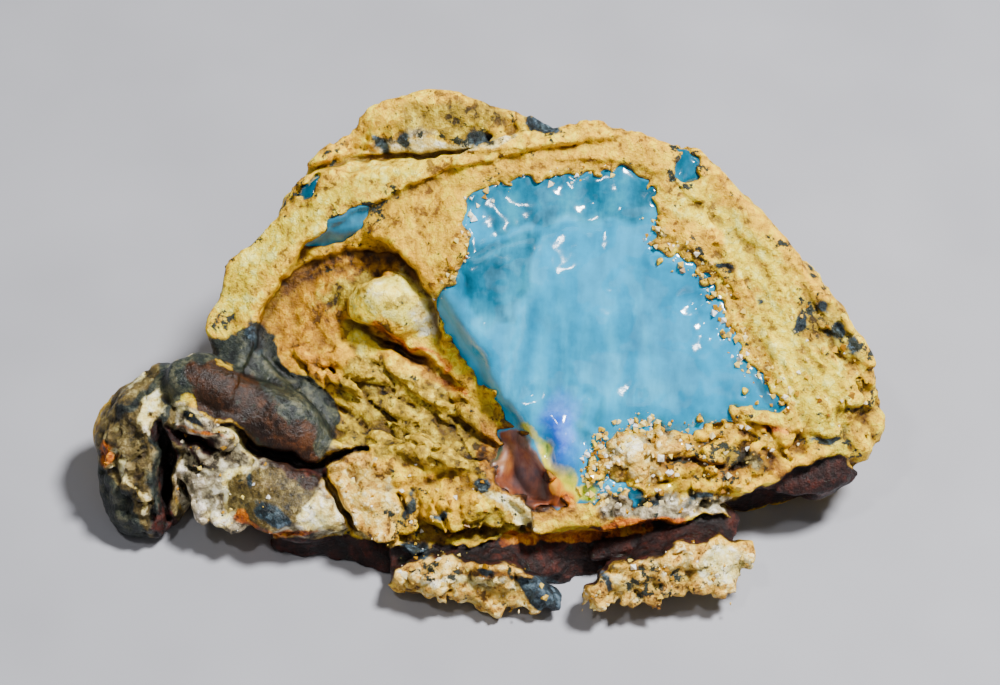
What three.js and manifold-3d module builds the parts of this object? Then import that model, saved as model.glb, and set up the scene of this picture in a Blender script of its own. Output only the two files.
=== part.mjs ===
// Rough amber specimen: one lump of fossil resin in its weathered rind.
// Millimetres, +Z up. The origin is under the middle of the stone, on the surface it rests on.

import * as THREE from 'three';
import { ConvexGeometry } from 'three/addons/geometries/ConvexGeometry.js';
import { ImprovedNoise } from 'three/addons/math/ImprovedNoise.js';
import { TessellateModifier } from 'three/addons/modifiers/TessellateModifier.js';
import { mergeVertices } from 'three/addons/utils/BufferGeometryUtils.js';
import Module from 'manifold-3d';

// The broad face leans back. Its features are placed in its own axes, from its middle:
// across to the right, up along the face, and out of it.
const FACE_MIDDLE = new THREE.Vector3(0.5, 0.7, 12);
const FACE_LEAN = THREE.MathUtils.degToRad(40);

// Longest edge of the facets, and the halvings that take the longest block down to it.
const EDGE_LENGTH = 3.3;
const HALVINGS = 24;

// Corners nearer than this are one corner.
const MERGE_GAP = 1e-4;

// Divisions of a lump's ball, on a plain lump and on one that stands out.
const PLAIN_LUMP = 4;
const FINE_LUMP = 6;

// The broken surface: slow swells, and knobs of a few millimetres on them. The start sets which.
const SWELL = { size: 11, height: 0.7, start: 3.7 };
const KNOB = { size: 4.2, height: 0.9, start: 17.3 };

// How far the block under the stone reaches, which cuts the flat it rests on.
const GROUND_SIZE = 100;

const RIND = { color: 0xb8963e, roughness: 0.75, metalness: 0 };

const manifoldLibrary = await Module();
manifoldLibrary.setup();

const faceRight = new THREE.Vector3(1, 0, 0);
const faceUp = new THREE.Vector3(0, Math.cos(FACE_LEAN), Math.sin(FACE_LEAN));
const faceOut = new THREE.Vector3(0, -Math.sin(FACE_LEAN), Math.cos(FACE_LEAN));

/** A point of the stone from its place on the broad face. */
function onFace([across, up, out]) {
  return FACE_MIDDLE.clone()
    .addScaledVector(faceRight, across)
    .addScaledVector(faceUp, up)
    .addScaledVector(faceOut, out);
}

/** A point given in the stone's own axes. */
function inStone([x, y, z]) {
  return new THREE.Vector3(x, y, z);
}

const noise = new ImprovedNoise();

/** The push of one broken-surface field on a point, which changes smoothly with its place. */
function push(point, { size, height, start }) {
  const { x, y, z } = point.clone().divideScalar(size);
  return new THREE.Vector3(
    noise.noise(x + start, y, z),
    noise.noise(x, y + start, z),
    noise.noise(x, y, z + start),
  ).multiplyScalar(height);
}

/** Moves every point of a closed geometry by the fields, so that flat facets become broken rock. */
function roughen(geometry) {
  const places = geometry.attributes.position;
  const point = new THREE.Vector3();
  for (let i = 0; i < places.count; i += 1) {
    point.fromBufferAttribute(places, i);
    point.add(push(point, SWELL)).add(push(point, KNOB));
    places.setXYZ(i, point.x, point.y, point.z);
  }
  return geometry;
}

/** A closed geometry as a solid that can be joined and cut. */
function solid(geometry) {
  geometry.deleteAttribute('normal');
  geometry.deleteAttribute('uv');
  const merged = mergeVertices(geometry, MERGE_GAP);
  return new manifoldLibrary.Manifold(new manifoldLibrary.Mesh({
    numProp: 3,
    vertProperties: new Float32Array(merged.attributes.position.array),
    triVerts: new Uint32Array(merged.index.array),
  }));
}

/** A block of broken rock around a list of corners. */
function block(...corners) {
  const faces = new ConvexGeometry(corners.flat());
  faces.deleteAttribute('normal');
  const divided = new TessellateModifier(EDGE_LENGTH, HALVINGS).modify(faces);
  return solid(roughen(mergeVertices(divided, MERGE_GAP)));
}

/** A rounded lump: its middle, its three half-sizes, and a turn in the plane of the face. */
function lump(middle, halfSizes, turn, detail = PLAIN_LUMP) {
  const ball = new THREE.IcosahedronGeometry(1, detail);
  ball.deleteAttribute('normal');
  ball.deleteAttribute('uv');
  const axes = new THREE.Matrix4()
    .makeBasis(faceRight, faceUp, faceOut)
    .multiply(new THREE.Matrix4().makeRotationZ(turn))
    .scale(new THREE.Vector3(...halfSizes))
    .setPosition(middle);
  return solid(roughen(mergeVertices(ball.applyMatrix4(axes), MERGE_GAP)));
}

// The main body, under the leaning face.

const crest = [
  [-16.5, 13.5, 1.5],
  [-10, 15, 3.5],
  [-2.5, 16, 5],
  [4, 17, 5.3],
  [6.5, 18.3, 4.8],
  [11.5, 17, 5.5],
  [16, 16.3, 5.3],
  [20.5, 11, 5.5],
  [25, 7.5, 5],
  [29, 1.5, 4.5],
  [32, -3, 3],
  [33, -6.5, 1.5],
  [30, -12, 2],
];

const leftShoulder = [
  [-17.5, 11.5, 1.3],
  [-20, 9.5, 1],
  [-22.5, 7, 0.7],
  [-23.5, 3.5, 0.5],
  [-25.5, 1.5, 0.5],
];

const lowerEdge = [
  [26.5, -11.5, 4],
  [20, -13.8, 5],
  [11.5, -14.8, 5.3],
  [5, -15, 5.3],
  [-4, -15.5, 4.5],
  [-13, -15, 3.5],
];

const clearWindow = [
  [-2.5, 12, 5.5],
  [13, 13, 5.5],
  [24, -5, 5],
  [11.5, -7.5, 5.5],
  [0, -6, 5],
  [-5, 2.5, 5],
  [7.5, 3, 6],
];

const back = [
  [28, 8, 10],
  [29, 1, 5],
  [20, 16.5, 14],
  [4.5, 20, 15],
  [-11.5, 17, 14],
  [-22, 9, 11],
];

const foot = [
  [-22, -5, -1.5],
  [-16, -11, -1.5],
  [6, -12, -1.5],
  [20, -10, -1.5],
  [25, -3, -1.5],
  [25, 5, -1.5],
  [18, 14, -1.5],
  [4, 17, -1.5],
  [-10, 15, -1.5],
  [-20, 8, -1.5],
];

const body = block(
  crest.map(onFace),
  leftShoulder.map(onFace),
  lowerEdge.map(onFace),
  clearWindow.map(onFace),
  back.map(inStone),
  foot.map(inStone),
);

// The hollow left of the window, where a slab of rind has broken out: its floor, then its mouth.

const hollow = block(
  [
    [-17, 7, 0.5],
    [-13.5, 8, 1],
    [-9.5, 7.5, 2.2],
    [-7, 5.5, 3],
    [-5.5, 3, 3.2],
    [-5, -0.5, 3],
    [-2, -5, 3],
    [1.5, -8, 3],
    [-0.5, -12.5, 2.8],
    [-5, -13, 2.8],
    [-12.5, -8, 1.8],
    [-17, -5, 0.8],
    [-20, 1, 0],
    [-19, 8.5, 8],
    [-9, 9.5, 8],
    [-4, 4, 9],
    [-3, -1, 9],
    [4, -8.5, 9],
    [0, -15, 9],
    [-6, -15, 9],
    [-14, -9, 8],
    [-21, 1, 8],
  ].map(onFace),
);

// The notch of clear resin below it.

const notch = block(
  [
    [1, -7.5, 8],
    [-1, -12.5, 8],
    [6, -14.8, 8],
    [1.2, -9, 2.5],
    [0.5, -11.5, 2.5],
    [4, -13, 2.5],
  ].map(onFace),
);

// The hollow under the face's lower edge.

const undercut = block([
  [-9, -13, 4],
  [26, -8.5, 5.5],
  [-9, -12.5, -4],
  [26, -7.5, -4],
  [-12, -30, 4.5],
  [32, -30, 7],
  [-12, -30, -4],
  [32, -30, -4],
].map(inStone));

const boss = lump(onFace([-9, 3.5, 1.8]), [4.2, 2.8, 2], 0.1);

const lowerBlocks = block(
  [
    [-14, -9, 3.6],
    [-6.5, -8, 3.8],
    [0, -10, 4],
    [2.5, -13, 4.8],
    [3.5, -15.5, 4.8],
    [-4, -17, 4.8],
    [-8.5, -17, 4.8],
    [-13, -16, 4.3],
    [-12, -10, 0],
    [2, -12, 0],
    [2, -15, 0],
    [-11, -15, 0],
  ].map(onFace),
);

const rubble = block(
  [
    [-28, -7.5, 1.5],
    [-24, -7, 2.5],
    [-17.5, -9, 3.5],
    [-14.5, -10.5, 3.6],
    [-13.5, -15.5, 4],
    [-19, -16.5, 3.8],
    [-25, -15.5, 2.8],
    [-27, -12, 1.6],
  ].map(onFace),
  [
    [-24, -4, 1.5],
    [-20, -10, 1],
    [-12, -11, 1],
    [-14, 0, 2],
  ].map(inStone),
);

const lip = lump(onFace([-21.2, -5.8, 1.8]), [8.2, 3.3, 2.8], -0.45, FINE_LUMP);

// The nodule at the left end.

const nodule = lump(inStone([-29.4, -5.4, 4.8]), [4.4, 7.6, 5.2], -0.2, FINE_LUMP);
const noduleNeck = lump(inStone([-24, -2, 5]), [6.5, 5.5, 4.6], 0.2);

// The lump behind the face's crest.

const backLump = block(
  [
    [-13, 18.4, -0.5],
    [-9.5, 19.8, 0.5],
    [-6, 21.2, 1],
    [-3, 20.9, 1],
    [0, 19.5, 1.5],
    [4, 18.6, 2.5],
    [-16, 15.3, 0],
  ].map(onFace),
  [
    [-14, 14, 10],
    [-12, 16, 18],
    [-2, 18.5, 18],
    [6, 16, 20],
    [4, 14, 10],
    [-8, 6, 14],
    [4, 8, 16],
  ].map(inStone),
);

// The far side, turned away from the broad face: three swellings, and a cleft between two of them.

const farSwellings = [
  lump(inStone([14, 9.5, 10]), [10, 8, 10], 0.2),
  lump(inStone([-14, 7, 8]), [10, 7, 9.5], 0.3),
  lump(inStone([0, 12.5, 5]), [9, 5, 7.5], -0.3),
];

const cleft = block([
  [2, 24, 24],
  [6, 24, 24],
  [3.5, 13, 22],
  [-1, 25, 2],
  [3, 25, 2],
  [1.5, 16.5, 4],
].map(inStone));

// The dark foot set back under the overhang, down to the ground.

const foreFoot = block([
  [-24, -10.5, -0.5],
  [-16, -13.5, -0.5],
  [-8, -15.3, -0.5],
  [0, -15.8, -0.5],
  [8, -15.3, -0.5],
  [14, -14, -0.5],
  [-23, -8.5, 4.5],
  [-16, -11, 5],
  [-8, -12.8, 5],
  [6, -12.8, 5],
  [14, -11.5, 5],
  [20, -9, -0.5],
  [18, -5, 4],
  [-20, 0, 2],
  [10, 0, 2],
].map(inStone));

// The two ledges under the front edge.

const leftLedge = block([
  [-8.5, -17.3, 4.2],
  [-8, -17.5, 2],
  [-6, -18.3, 3.4],
  [0.5, -17.5, 4.8],
  [5.3, -18.8, 2],
  [0.5, -19.2, 1.3],
  [-10, -8, 1],
  [6, -8, 1],
  [-9, -8, 2.8],
  [4, -8, 2],
].map(inStone));

const rightLedge = block([
  [7.2, -19.3, 3.2],
  [9, -18.3, 4.8],
  [17, -16.5, 6.8],
  [21.5, -16.6, 5.6],
  [20, -18.8, 3],
  [12, -19.4, 2.8],
  [11, -5, 1.2],
  [19, -4, 1.2],
  [19, -4, 2.6],
  [11, -5, 2.4],
].map(inStone));

const stone = farSwellings
  .reduce((whole, swelling) => whole.add(swelling), body)
  .subtract(cleft)
  .subtract(hollow)
  .subtract(undercut)
  .add(boss)
  .add(lowerBlocks)
  .subtract(notch)
  .add(rubble)
  .add(lip)
  .add(nodule)
  .add(noduleNeck)
  .add(backLump)
  .add(foreFoot)
  .add(leftLedge)
  .add(rightLedge);

// The flat it rests on.

const ground = new THREE.BoxGeometry(GROUND_SIZE, GROUND_SIZE, GROUND_SIZE);
ground.translate(0, 0, -GROUND_SIZE / 2);
const rested = stone.subtract(solid(ground));

const { vertProperties, triVerts } = rested.getMesh();
const geometry = new THREE.BufferGeometry();
geometry.setAttribute('position', new THREE.BufferAttribute(new Float32Array(vertProperties), 3));
geometry.setIndex(new THREE.BufferAttribute(new Uint32Array(triVerts), 1));
geometry.computeBoundingBox();
const middle = geometry.boundingBox.getCenter(new THREE.Vector3());
geometry.translate(-middle.x, -middle.y, 0);
geometry.computeVertexNormals();

const amberSpecimen = new THREE.Mesh(geometry, new THREE.MeshStandardMaterial(RIND));
amberSpecimen.name = 'amber_specimen';

const specimen = new THREE.Group();
specimen.add(amberSpecimen);

export default specimen;
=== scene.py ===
"""Rough amber specimen: clear fossil resin under a broken, weathered rind."""

from __future__ import annotations

import logging
import math
from dataclasses import dataclass, field
from enum import Enum
from typing import Protocol, Sequence

import bpy
import numpy as np
import openvdb
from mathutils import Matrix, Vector

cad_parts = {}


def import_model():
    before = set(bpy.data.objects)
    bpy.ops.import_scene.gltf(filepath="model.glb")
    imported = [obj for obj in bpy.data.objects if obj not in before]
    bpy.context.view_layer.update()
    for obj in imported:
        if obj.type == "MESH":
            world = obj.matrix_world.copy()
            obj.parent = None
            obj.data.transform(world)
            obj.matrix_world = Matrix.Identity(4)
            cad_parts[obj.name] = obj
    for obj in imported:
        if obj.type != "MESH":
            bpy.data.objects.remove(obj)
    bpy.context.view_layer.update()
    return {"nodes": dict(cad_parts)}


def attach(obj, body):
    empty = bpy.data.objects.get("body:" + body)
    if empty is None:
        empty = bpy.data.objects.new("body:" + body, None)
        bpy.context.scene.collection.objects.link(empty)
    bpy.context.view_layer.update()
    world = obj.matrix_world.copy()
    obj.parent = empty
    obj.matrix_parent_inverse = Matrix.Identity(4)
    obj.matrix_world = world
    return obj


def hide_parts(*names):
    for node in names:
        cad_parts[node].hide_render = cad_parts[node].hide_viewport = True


LOG = logging.getLogger("specimen")
NODE = "amber_specimen"
MM = 0.001

Corners = Sequence[tuple[float, float]]
Stops = Sequence[tuple[float, str]]


# ---------------------------------------------------------------- places


@dataclass(frozen=True)
class BroadFace:
    """The leaning broad face, whose own axes place the features: across, up and out of it, in mm."""

    middle: tuple[float, float, float] = (0.75, 0.73, 12.0)
    lean: float = 40.0

    def axes(self) -> np.ndarray:
        """Returns the three axes as rows."""
        turn = math.radians(self.lean)
        across = (1.0, 0.0, 0.0)
        up = (0.0, math.cos(turn), math.sin(turn))
        out = (0.0, -math.sin(turn), math.cos(turn))
        return np.array((across, up, out), np.float32)

    def from_stone(self, points: np.ndarray) -> np.ndarray:
        """Turns points of the stone into places on the face.

        Args:
            points: Points in the stone's frame, in mm, one a row.

        Returns:
            The same points as across, up and out, in mm.
        """
        return (points - np.array(self.middle, np.float32)) @ self.axes().T


FACE = BroadFace()


def smooth_step(values: np.ndarray, low: float, high: float) -> np.ndarray:
    """Returns 0 below low, 1 above high, and a smooth rise between them."""
    part = np.clip((values - low) / (high - low), 0.0, 1.0)
    return part * part * (3.0 - 2.0 * part)


def turned(places: np.ndarray, angle: float) -> tuple[np.ndarray, np.ndarray]:
    """Returns places measured along and athwart a direction at an angle in degrees."""
    turn = math.radians(angle)
    along = places[:, 0] * math.cos(turn) + places[:, 1] * math.sin(turn)
    athwart = places[:, 1] * math.cos(turn) - places[:, 0] * math.sin(turn)
    return along, athwart


def line_distance(places: np.ndarray, corners: Corners) -> tuple[np.ndarray, np.ndarray]:
    """Measures from flat places to a bent line.

    Args:
        places: Places on the face as across and up, in mm.
        corners: The line's corners.

    Returns:
        The distance to the nearest stretch, and the side of that stretch: positive on its left.
    """
    points = np.array(corners, np.float32)
    best = np.full(len(places), np.inf, np.float32)
    side = np.ones(len(places), np.float32)
    for start, end in zip(points[:-1], points[1:]):
        along = end - start
        offset = places - start
        share = np.clip(offset @ along / float(along @ along), 0.0, 1.0)
        gap = offset - share[:, None] * along
        distance = np.hypot(gap[:, 0], gap[:, 1])
        here = np.sign(along[0] * offset[:, 1] - along[1] * offset[:, 0])
        nearer = distance < best
        best = np.where(nearer, distance, best)
        side = np.where(nearer, here, side)
    return best, side


# ---------------------------------------------------------------- random fields


class Noise:
    """A smooth random field in space, the same on every run."""

    # The field repeats after LATTICE swells, STRENGTH brings it to about -1 to 1, and SHIFT keeps the finer
    # layers from lining up.
    LATTICE = 48
    STRENGTH = 1.6
    SHIFT = 7.3

    def __init__(self, seed: int) -> None:
        """Draws the field's slopes.

        Args:
            seed: Which field this is.
        """
        draw = np.random.default_rng(seed)
        slopes = draw.normal(size=(self.LATTICE**3, 3))
        slopes /= np.linalg.norm(slopes, axis=1, keepdims=True)
        self.slopes = slopes.astype(np.float32)

    def at(self, points: np.ndarray, size: float) -> np.ndarray:
        """Reads the field.

        Args:
            points: Points in mm.
            size: Length of one swell in mm.

        Returns:
            A value at each point, about from -1 to 1.
        """
        scaled = points.astype(np.float32) / np.float32(size)
        cell = np.floor(scaled).astype(np.int32)
        part = scaled - cell
        fade = part * part * part * (part * (part * 6.0 - 15.0) + 10.0)
        total = np.zeros(len(points), np.float32)
        for corner in np.ndindex(2, 2, 2):
            near = (cell + np.array(corner, np.int32)) % self.LATTICE
            index = (near[:, 0] * self.LATTICE + near[:, 1]) * self.LATTICE + near[:, 2]
            offset = part - np.array(corner, np.float32)
            value = np.einsum("ij,ij->i", self.slopes[index], offset)
            for axis, far in enumerate(corner):
                value *= fade[:, axis] if far else 1.0 - fade[:, axis]
            total += value
        return total * np.float32(self.STRENGTH)

    def fractal(self, points: np.ndarray, size: float, layers: int, gain: float = 0.5) -> np.ndarray:
        """Adds up ever finer layers of the field.

        Args:
            points: Points in mm.
            size: Length of the coarsest swell in mm.
            layers: How many layers, each half the size of the last.
            gain: Height of each layer against the last.

        Returns:
            A value at each point.
        """
        total = np.zeros(len(points), np.float32)
        height = 1.0
        for layer in range(layers):
            moved = points + np.float32(self.SHIFT * layer)
            total += height * self.at(moved, size / 2.0**layer)
            height *= gain
        return total


class Facets:
    """Space filled with uneven lumps of tilted flats that meet in sharp creases, as on broken rock."""

    # The lumps repeat after LATTICE of them. ROUNDNESS keeps each to its own spot, TILT is how steep their
    # flats are, LOWEST is below any of them, and MIDDLE and STRENGTH bring the height to about -1 to 1.
    LATTICE = 24
    ROUNDNESS = 0.62
    TILT = 0.62
    LOWEST = -9.0
    MIDDLE = 0.45
    STRENGTH = 1.4

    def __init__(self, seed: int) -> None:
        """Draws the lumps' spots, heights and tilts.

        Args:
            seed: Which set of lumps this is.
        """
        draw = np.random.default_rng(seed)
        count = self.LATTICE**3
        self.spots = draw.uniform(0.1, 0.9, (count, 3)).astype(np.float32)
        self.heights = draw.uniform(-0.5, 0.5, count).astype(np.float32)
        self.tilts = draw.normal(0.0, self.TILT, (count, 3)).astype(np.float32)

    def at(self, points: np.ndarray, size: float) -> tuple[np.ndarray, np.ndarray]:
        """Finds the lump that stands highest at each point.

        Args:
            points: Points in mm.
            size: Usual size of a lump in mm.

        Returns:
            The height there, about from -1 to 1, and how far it stands over the next lump: 0 in a crease.
        """
        scaled = points.astype(np.float32) / np.float32(size)
        cell = np.floor(scaled).astype(np.int32)
        first = np.full(len(points), self.LOWEST, np.float32)
        second = first.copy()
        for step in np.ndindex(3, 3, 3):
            near = cell + np.array(step, np.int32) - 1
            wrapped = near % self.LATTICE
            index = (wrapped[:, 0] * self.LATTICE + wrapped[:, 1]) * self.LATTICE + wrapped[:, 2]
            gap = scaled - (near + self.spots[index])
            flat = self.heights[index] + np.einsum("ij,ij->i", gap, self.tilts[index])
            square = np.einsum("ij,ij->i", gap, gap)
            flat -= np.float32(self.ROUNDNESS) * square * square
            second = np.maximum(second, np.minimum(first, flat))
            first = np.maximum(first, flat)
        return self.STRENGTH * (first - self.MIDDLE), first - second


# ---------------------------------------------------------------- shapes on the broad face


class Shape(Protocol):
    """Something drawn on the broad face."""

    def depth(self, places: np.ndarray) -> np.ndarray:
        """Returns how far inside the shape each place lies, in mm."""


@dataclass(frozen=True)
class Outline:
    """A closed outline on the face."""

    corners: Corners

    def depth(self, places: np.ndarray) -> np.ndarray:
        """Returns how far inside the outline each place lies, in mm.

        Args:
            places: Places on the face as across and up, in mm.

        Returns:
            The distance to the outline, negative outside it.
        """
        closed = list(self.corners) + [self.corners[0]]
        distance, _ = line_distance(places, closed)
        inside = np.zeros(len(places), bool)
        for (x0, y0), (x1, y1) in zip(closed[:-1], closed[1:]):
            if y0 == y1:
                continue
            spans = (places[:, 1] < y0) != (places[:, 1] < y1)
            crossing = x0 + (places[:, 1] - y0) * (x1 - x0) / (y1 - y0)
            inside ^= spans & (places[:, 0] < crossing)
        return np.where(inside, distance, -distance)


@dataclass(frozen=True)
class Oval:
    """An oval on the face."""

    across: float
    up: float
    half_along: float
    half_athwart: float
    turn: float = 0.0

    def depth(self, places: np.ndarray) -> np.ndarray:
        """Returns about how far inside the oval each place lies, in mm."""
        along, athwart = turned(places - np.array((self.across, self.up), np.float32), self.turn)
        reach = np.sqrt((along / self.half_along) ** 2 + (athwart / self.half_athwart) ** 2)
        return (1.0 - reach) * min(self.half_along, self.half_athwart)


@dataclass(frozen=True)
class Grown:
    """Another shape, grown all round."""

    shape: Shape
    margin: float

    def depth(self, places: np.ndarray) -> np.ndarray:
        """Returns how far inside the grown shape each place lies, in mm."""
        return self.shape.depth(places) + self.margin


@dataclass(frozen=True)
class Band:
    """A strip of even width along a bent line on the face."""

    corners: Corners
    half_width: float

    def depth(self, places: np.ndarray) -> np.ndarray:
        """Returns how far inside the strip each place lies, in mm."""
        return self.half_width - line_distance(places, self.corners)[0]


@dataclass(frozen=True)
class Groove:
    """A crack along a bent line on the face, narrower and shallower towards its ends."""

    THIN_END = 0.35
    TAPER = 2.5

    corners: Corners
    half_width: float
    deep: float

    def cut(self, places: np.ndarray) -> np.ndarray:
        """Returns how deep the crack goes at each place, in mm."""
        distance, _ = line_distance(places, self.corners)
        ends = np.array((self.corners[0], self.corners[-1]), np.float32)
        from_end = np.minimum(*(np.hypot(*(places - end).T) for end in ends))
        share = self.THIN_END + (1.0 - self.THIN_END) * smooth_step(from_end, 0.0, self.TAPER)
        half = self.half_width * share
        return self.deep * share * (1.0 - smooth_step(distance / half, 0.2, 1.0))


@dataclass(frozen=True)
class Layer:
    """A layer's broken edge along a bent line: the ground drops on its right and comes back over a run."""

    STEP = 0.25

    corners: Corners
    drop: float
    run: float

    def cut(self, places: np.ndarray) -> np.ndarray:
        """Returns how far the ground lies below the layer at each place, in mm."""
        distance, side = line_distance(places, self.corners)
        below = -distance * side
        return self.drop * smooth_step(below, 0.0, self.STEP) * np.clip(1.0 - below / self.run, 0.0, 1.0)


@dataclass(frozen=True)
class Bulge:
    """A rounded swelling, or a hollow where its height is negative."""

    oval: Oval
    height: float

    def cut(self, places: np.ndarray) -> np.ndarray:
        """Returns how far the ground lies below its usual level at each place, in mm."""
        narrow = min(self.oval.half_along, self.oval.half_athwart)
        inside = np.clip(self.oval.depth(places) / narrow, 0.0, 1.0)
        return -self.height * inside * (2.0 - inside)


# ---------------------------------------------------------------- what is where on the broad face

MAIN_WINDOW = Outline((
    (-2.5, 12.0), (-1.0, 13.0), (1.5, 13.5), (5.0, 13.5), (8.5, 14.0), (10.5, 14.5), (12.5, 13.5),
    (13.0, 11.5), (12.5, 8.5), (13.5, 7.5), (16.0, 6.5), (18.5, 3.5), (19.5, 0.0), (21.0, -2.0),
    (24.0, -5.0), (22.5, -5.5), (19.5, -5.0), (19.5, -6.0), (15.0, -7.5), (11.5, -7.0), (10.0, -7.0),
    (8.5, -8.5), (8.0, -10.0), (8.5, -11.5), (10.0, -12.5), (8.5, -13.0), (6.0, -13.2), (4.3, -12.2),
    (2.8, -9.6), (1.8, -7.2), (0.6, -6.0), (-1.0, -4.0), (-2.0, -2.5), (-4.5, 0.5), (-5.0, 3.5),
    (-3.0, 6.0), (-2.5, 7.5), (-3.0, 10.0),
))
NOTCH = Outline((
    (0.0, -7.2), (1.6, -7.4), (3.3, -9.8), (4.9, -12.3), (5.6, -13.8), (2.5, -13.7), (0.2, -12.2),
    (-0.4, -10.0),
))
UNDERCUT = Outline((
    (-29.0, -14.6), (-25.0, -15.7), (-22.0, -16.3), (-19.0, -16.4), (-16.0, -16.2), (-13.0, -16.6),
    (-9.7, -17.2), (-5.0, -16.9), (0.0, -16.3), (3.4, -15.9), (10.1, -15.4), (12.2, -14.9), (16.9, -14.7),
    (20.7, -14.3), (22.0, -15.0), (20.9, -16.0), (18.0, -16.3), (15.7, -16.7), (13.5, -17.3),
    (11.5, -18.0), (9.5, -18.5), (8.1, -19.3), (7.2, -20.4), (6.2, -21.4), (6.0, -23.0), (5.8, -22.2),
    (4.8, -20.9), (3.2, -19.6), (1.9, -18.7), (-2.0, -18.1), (-3.6, -17.5), (-6.8, -17.3), (-8.4, -18.8),
    (-9.8, -20.0), (-10.4, -23.0), (-29.0, -23.0),
))
RIGHT_UNDERCUT = Outline((
    (20.7, -14.8), (22.8, -12.4), (25.3, -10.6), (27.8, -10.1), (31.0, -11.2), (30.0, -14.5),
    (22.0, -16.0),
))
WINDOWS: tuple[Shape, ...] = (
    MAIN_WINDOW,
    NOTCH,
    Outline((
        (-16.0, 8.3), (-14.5, 10.2), (-12.5, 11.2), (-10.9, 11.5), (-11.8, 9.6), (-13.0, 8.7),
        (-15.0, 8.2),
    )),
    Outline(((14.4, 13.7), (14.6, 15.6), (15.3, 16.8), (16.3, 15.5), (16.2, 13.6), (15.0, 13.2))),
    Outline(((-17.9, 11.7), (-17.2, 13.0), (-15.3, 14.0), (-16.0, 12.8))),
    Oval(11.3, -12.6, 1.4, 0.7, -5),
)
COVERED: tuple[Shape, ...] = (Oval(7.6, -11.4, 0.7, 0.5), Oval(21.2, -5.6, 0.8, 0.4, -30))

LAYERS = (
    Layer(
        (
            (-21.0, -0.5), (-19.8, 3.1), (-18.1, 6.0), (-16.7, 8.1), (-14.2, 10.0), (-12.1, 11.2),
            (-8.3, 13.1), (-4.2, 14.5), (0.0, 15.6), (5.0, 16.3),
        ),
        drop=0.8,
        run=6.0,
    ),
    Layer(
        ((-19.0, 4.3), (-17.0, 6.6), (-13.5, 7.8), (-10.0, 8.0), (-7.0, 6.3), (-5.3, 3.0), (-5.0, 1.0)),
        drop=0.9,
        run=3.0,
    ),
    Layer(((-17.5, 5.0), (-14.5, 6.6), (-11.5, 6.5), (-9.5, 5.8)), drop=0.5, run=1.6),
    Layer(((-12.0, 1.8), (-10.5, 1.4), (-8.5, 0.5), (-6.5, -0.9), (-4.6, -2.4)), drop=0.9, run=3.0),
    Layer(((-2.7, 6.7), (0.0, 8.5), (3.8, 9.2), (8.3, 10.0), (12.8, 10.6)), drop=0.3, run=3.0),
    Layer(((3.2, 9.2), (3.0, 5.5), (1.4, 1.0), (0.5, -4.0)), drop=-0.25, run=4.0),
    Layer(((1.5, 15.4), (5.0, 15.0), (9.5, 15.3), (13.0, 14.4)), drop=0.4, run=1.5),
    Layer(((-2.0, 16.0), (4.0, 16.4), (9.5, 17.3)), drop=0.5, run=1.5),
    Layer(((-7.4, -9.6), (-5.0, -10.4), (-2.1, -11.0), (-0.6, -11.8)), drop=0.5, run=2.0),
    Layer(((-1.8, -12.3), (0.0, -12.4), (2.6, -14.6)), drop=0.5, run=1.6),
    Layer(((14.0, -7.2), (17.0, -6.6), (20.0, -6.3), (24.0, -6.9), (27.0, -7.6)), drop=0.5, run=3.0),
    Layer(((12.0, -12.6), (16.0, -12.2), (20.0, -12.7), (23.5, -11.4), (27.0, -9.6)), drop=0.6, run=2.0),
    Layer(((27.8, 4.6), (30.0, 1.0), (31.4, -3.0), (31.2, -8.5)), drop=-0.4, run=1.8),
    Layer(((25.6, 4.4), (27.6, 2.0), (29.0, -2.0), (28.6, -6.5)), drop=0.3, run=1.2),
    Layer(((13.6, 9.0), (17.5, 7.0), (20.5, 3.0), (22.5, -1.0)), drop=0.3, run=1.6),
    Layer(((15.5, 12.6), (20.0, 9.4), (24.0, 6.2)), drop=0.35, run=1.8),
)
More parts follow.
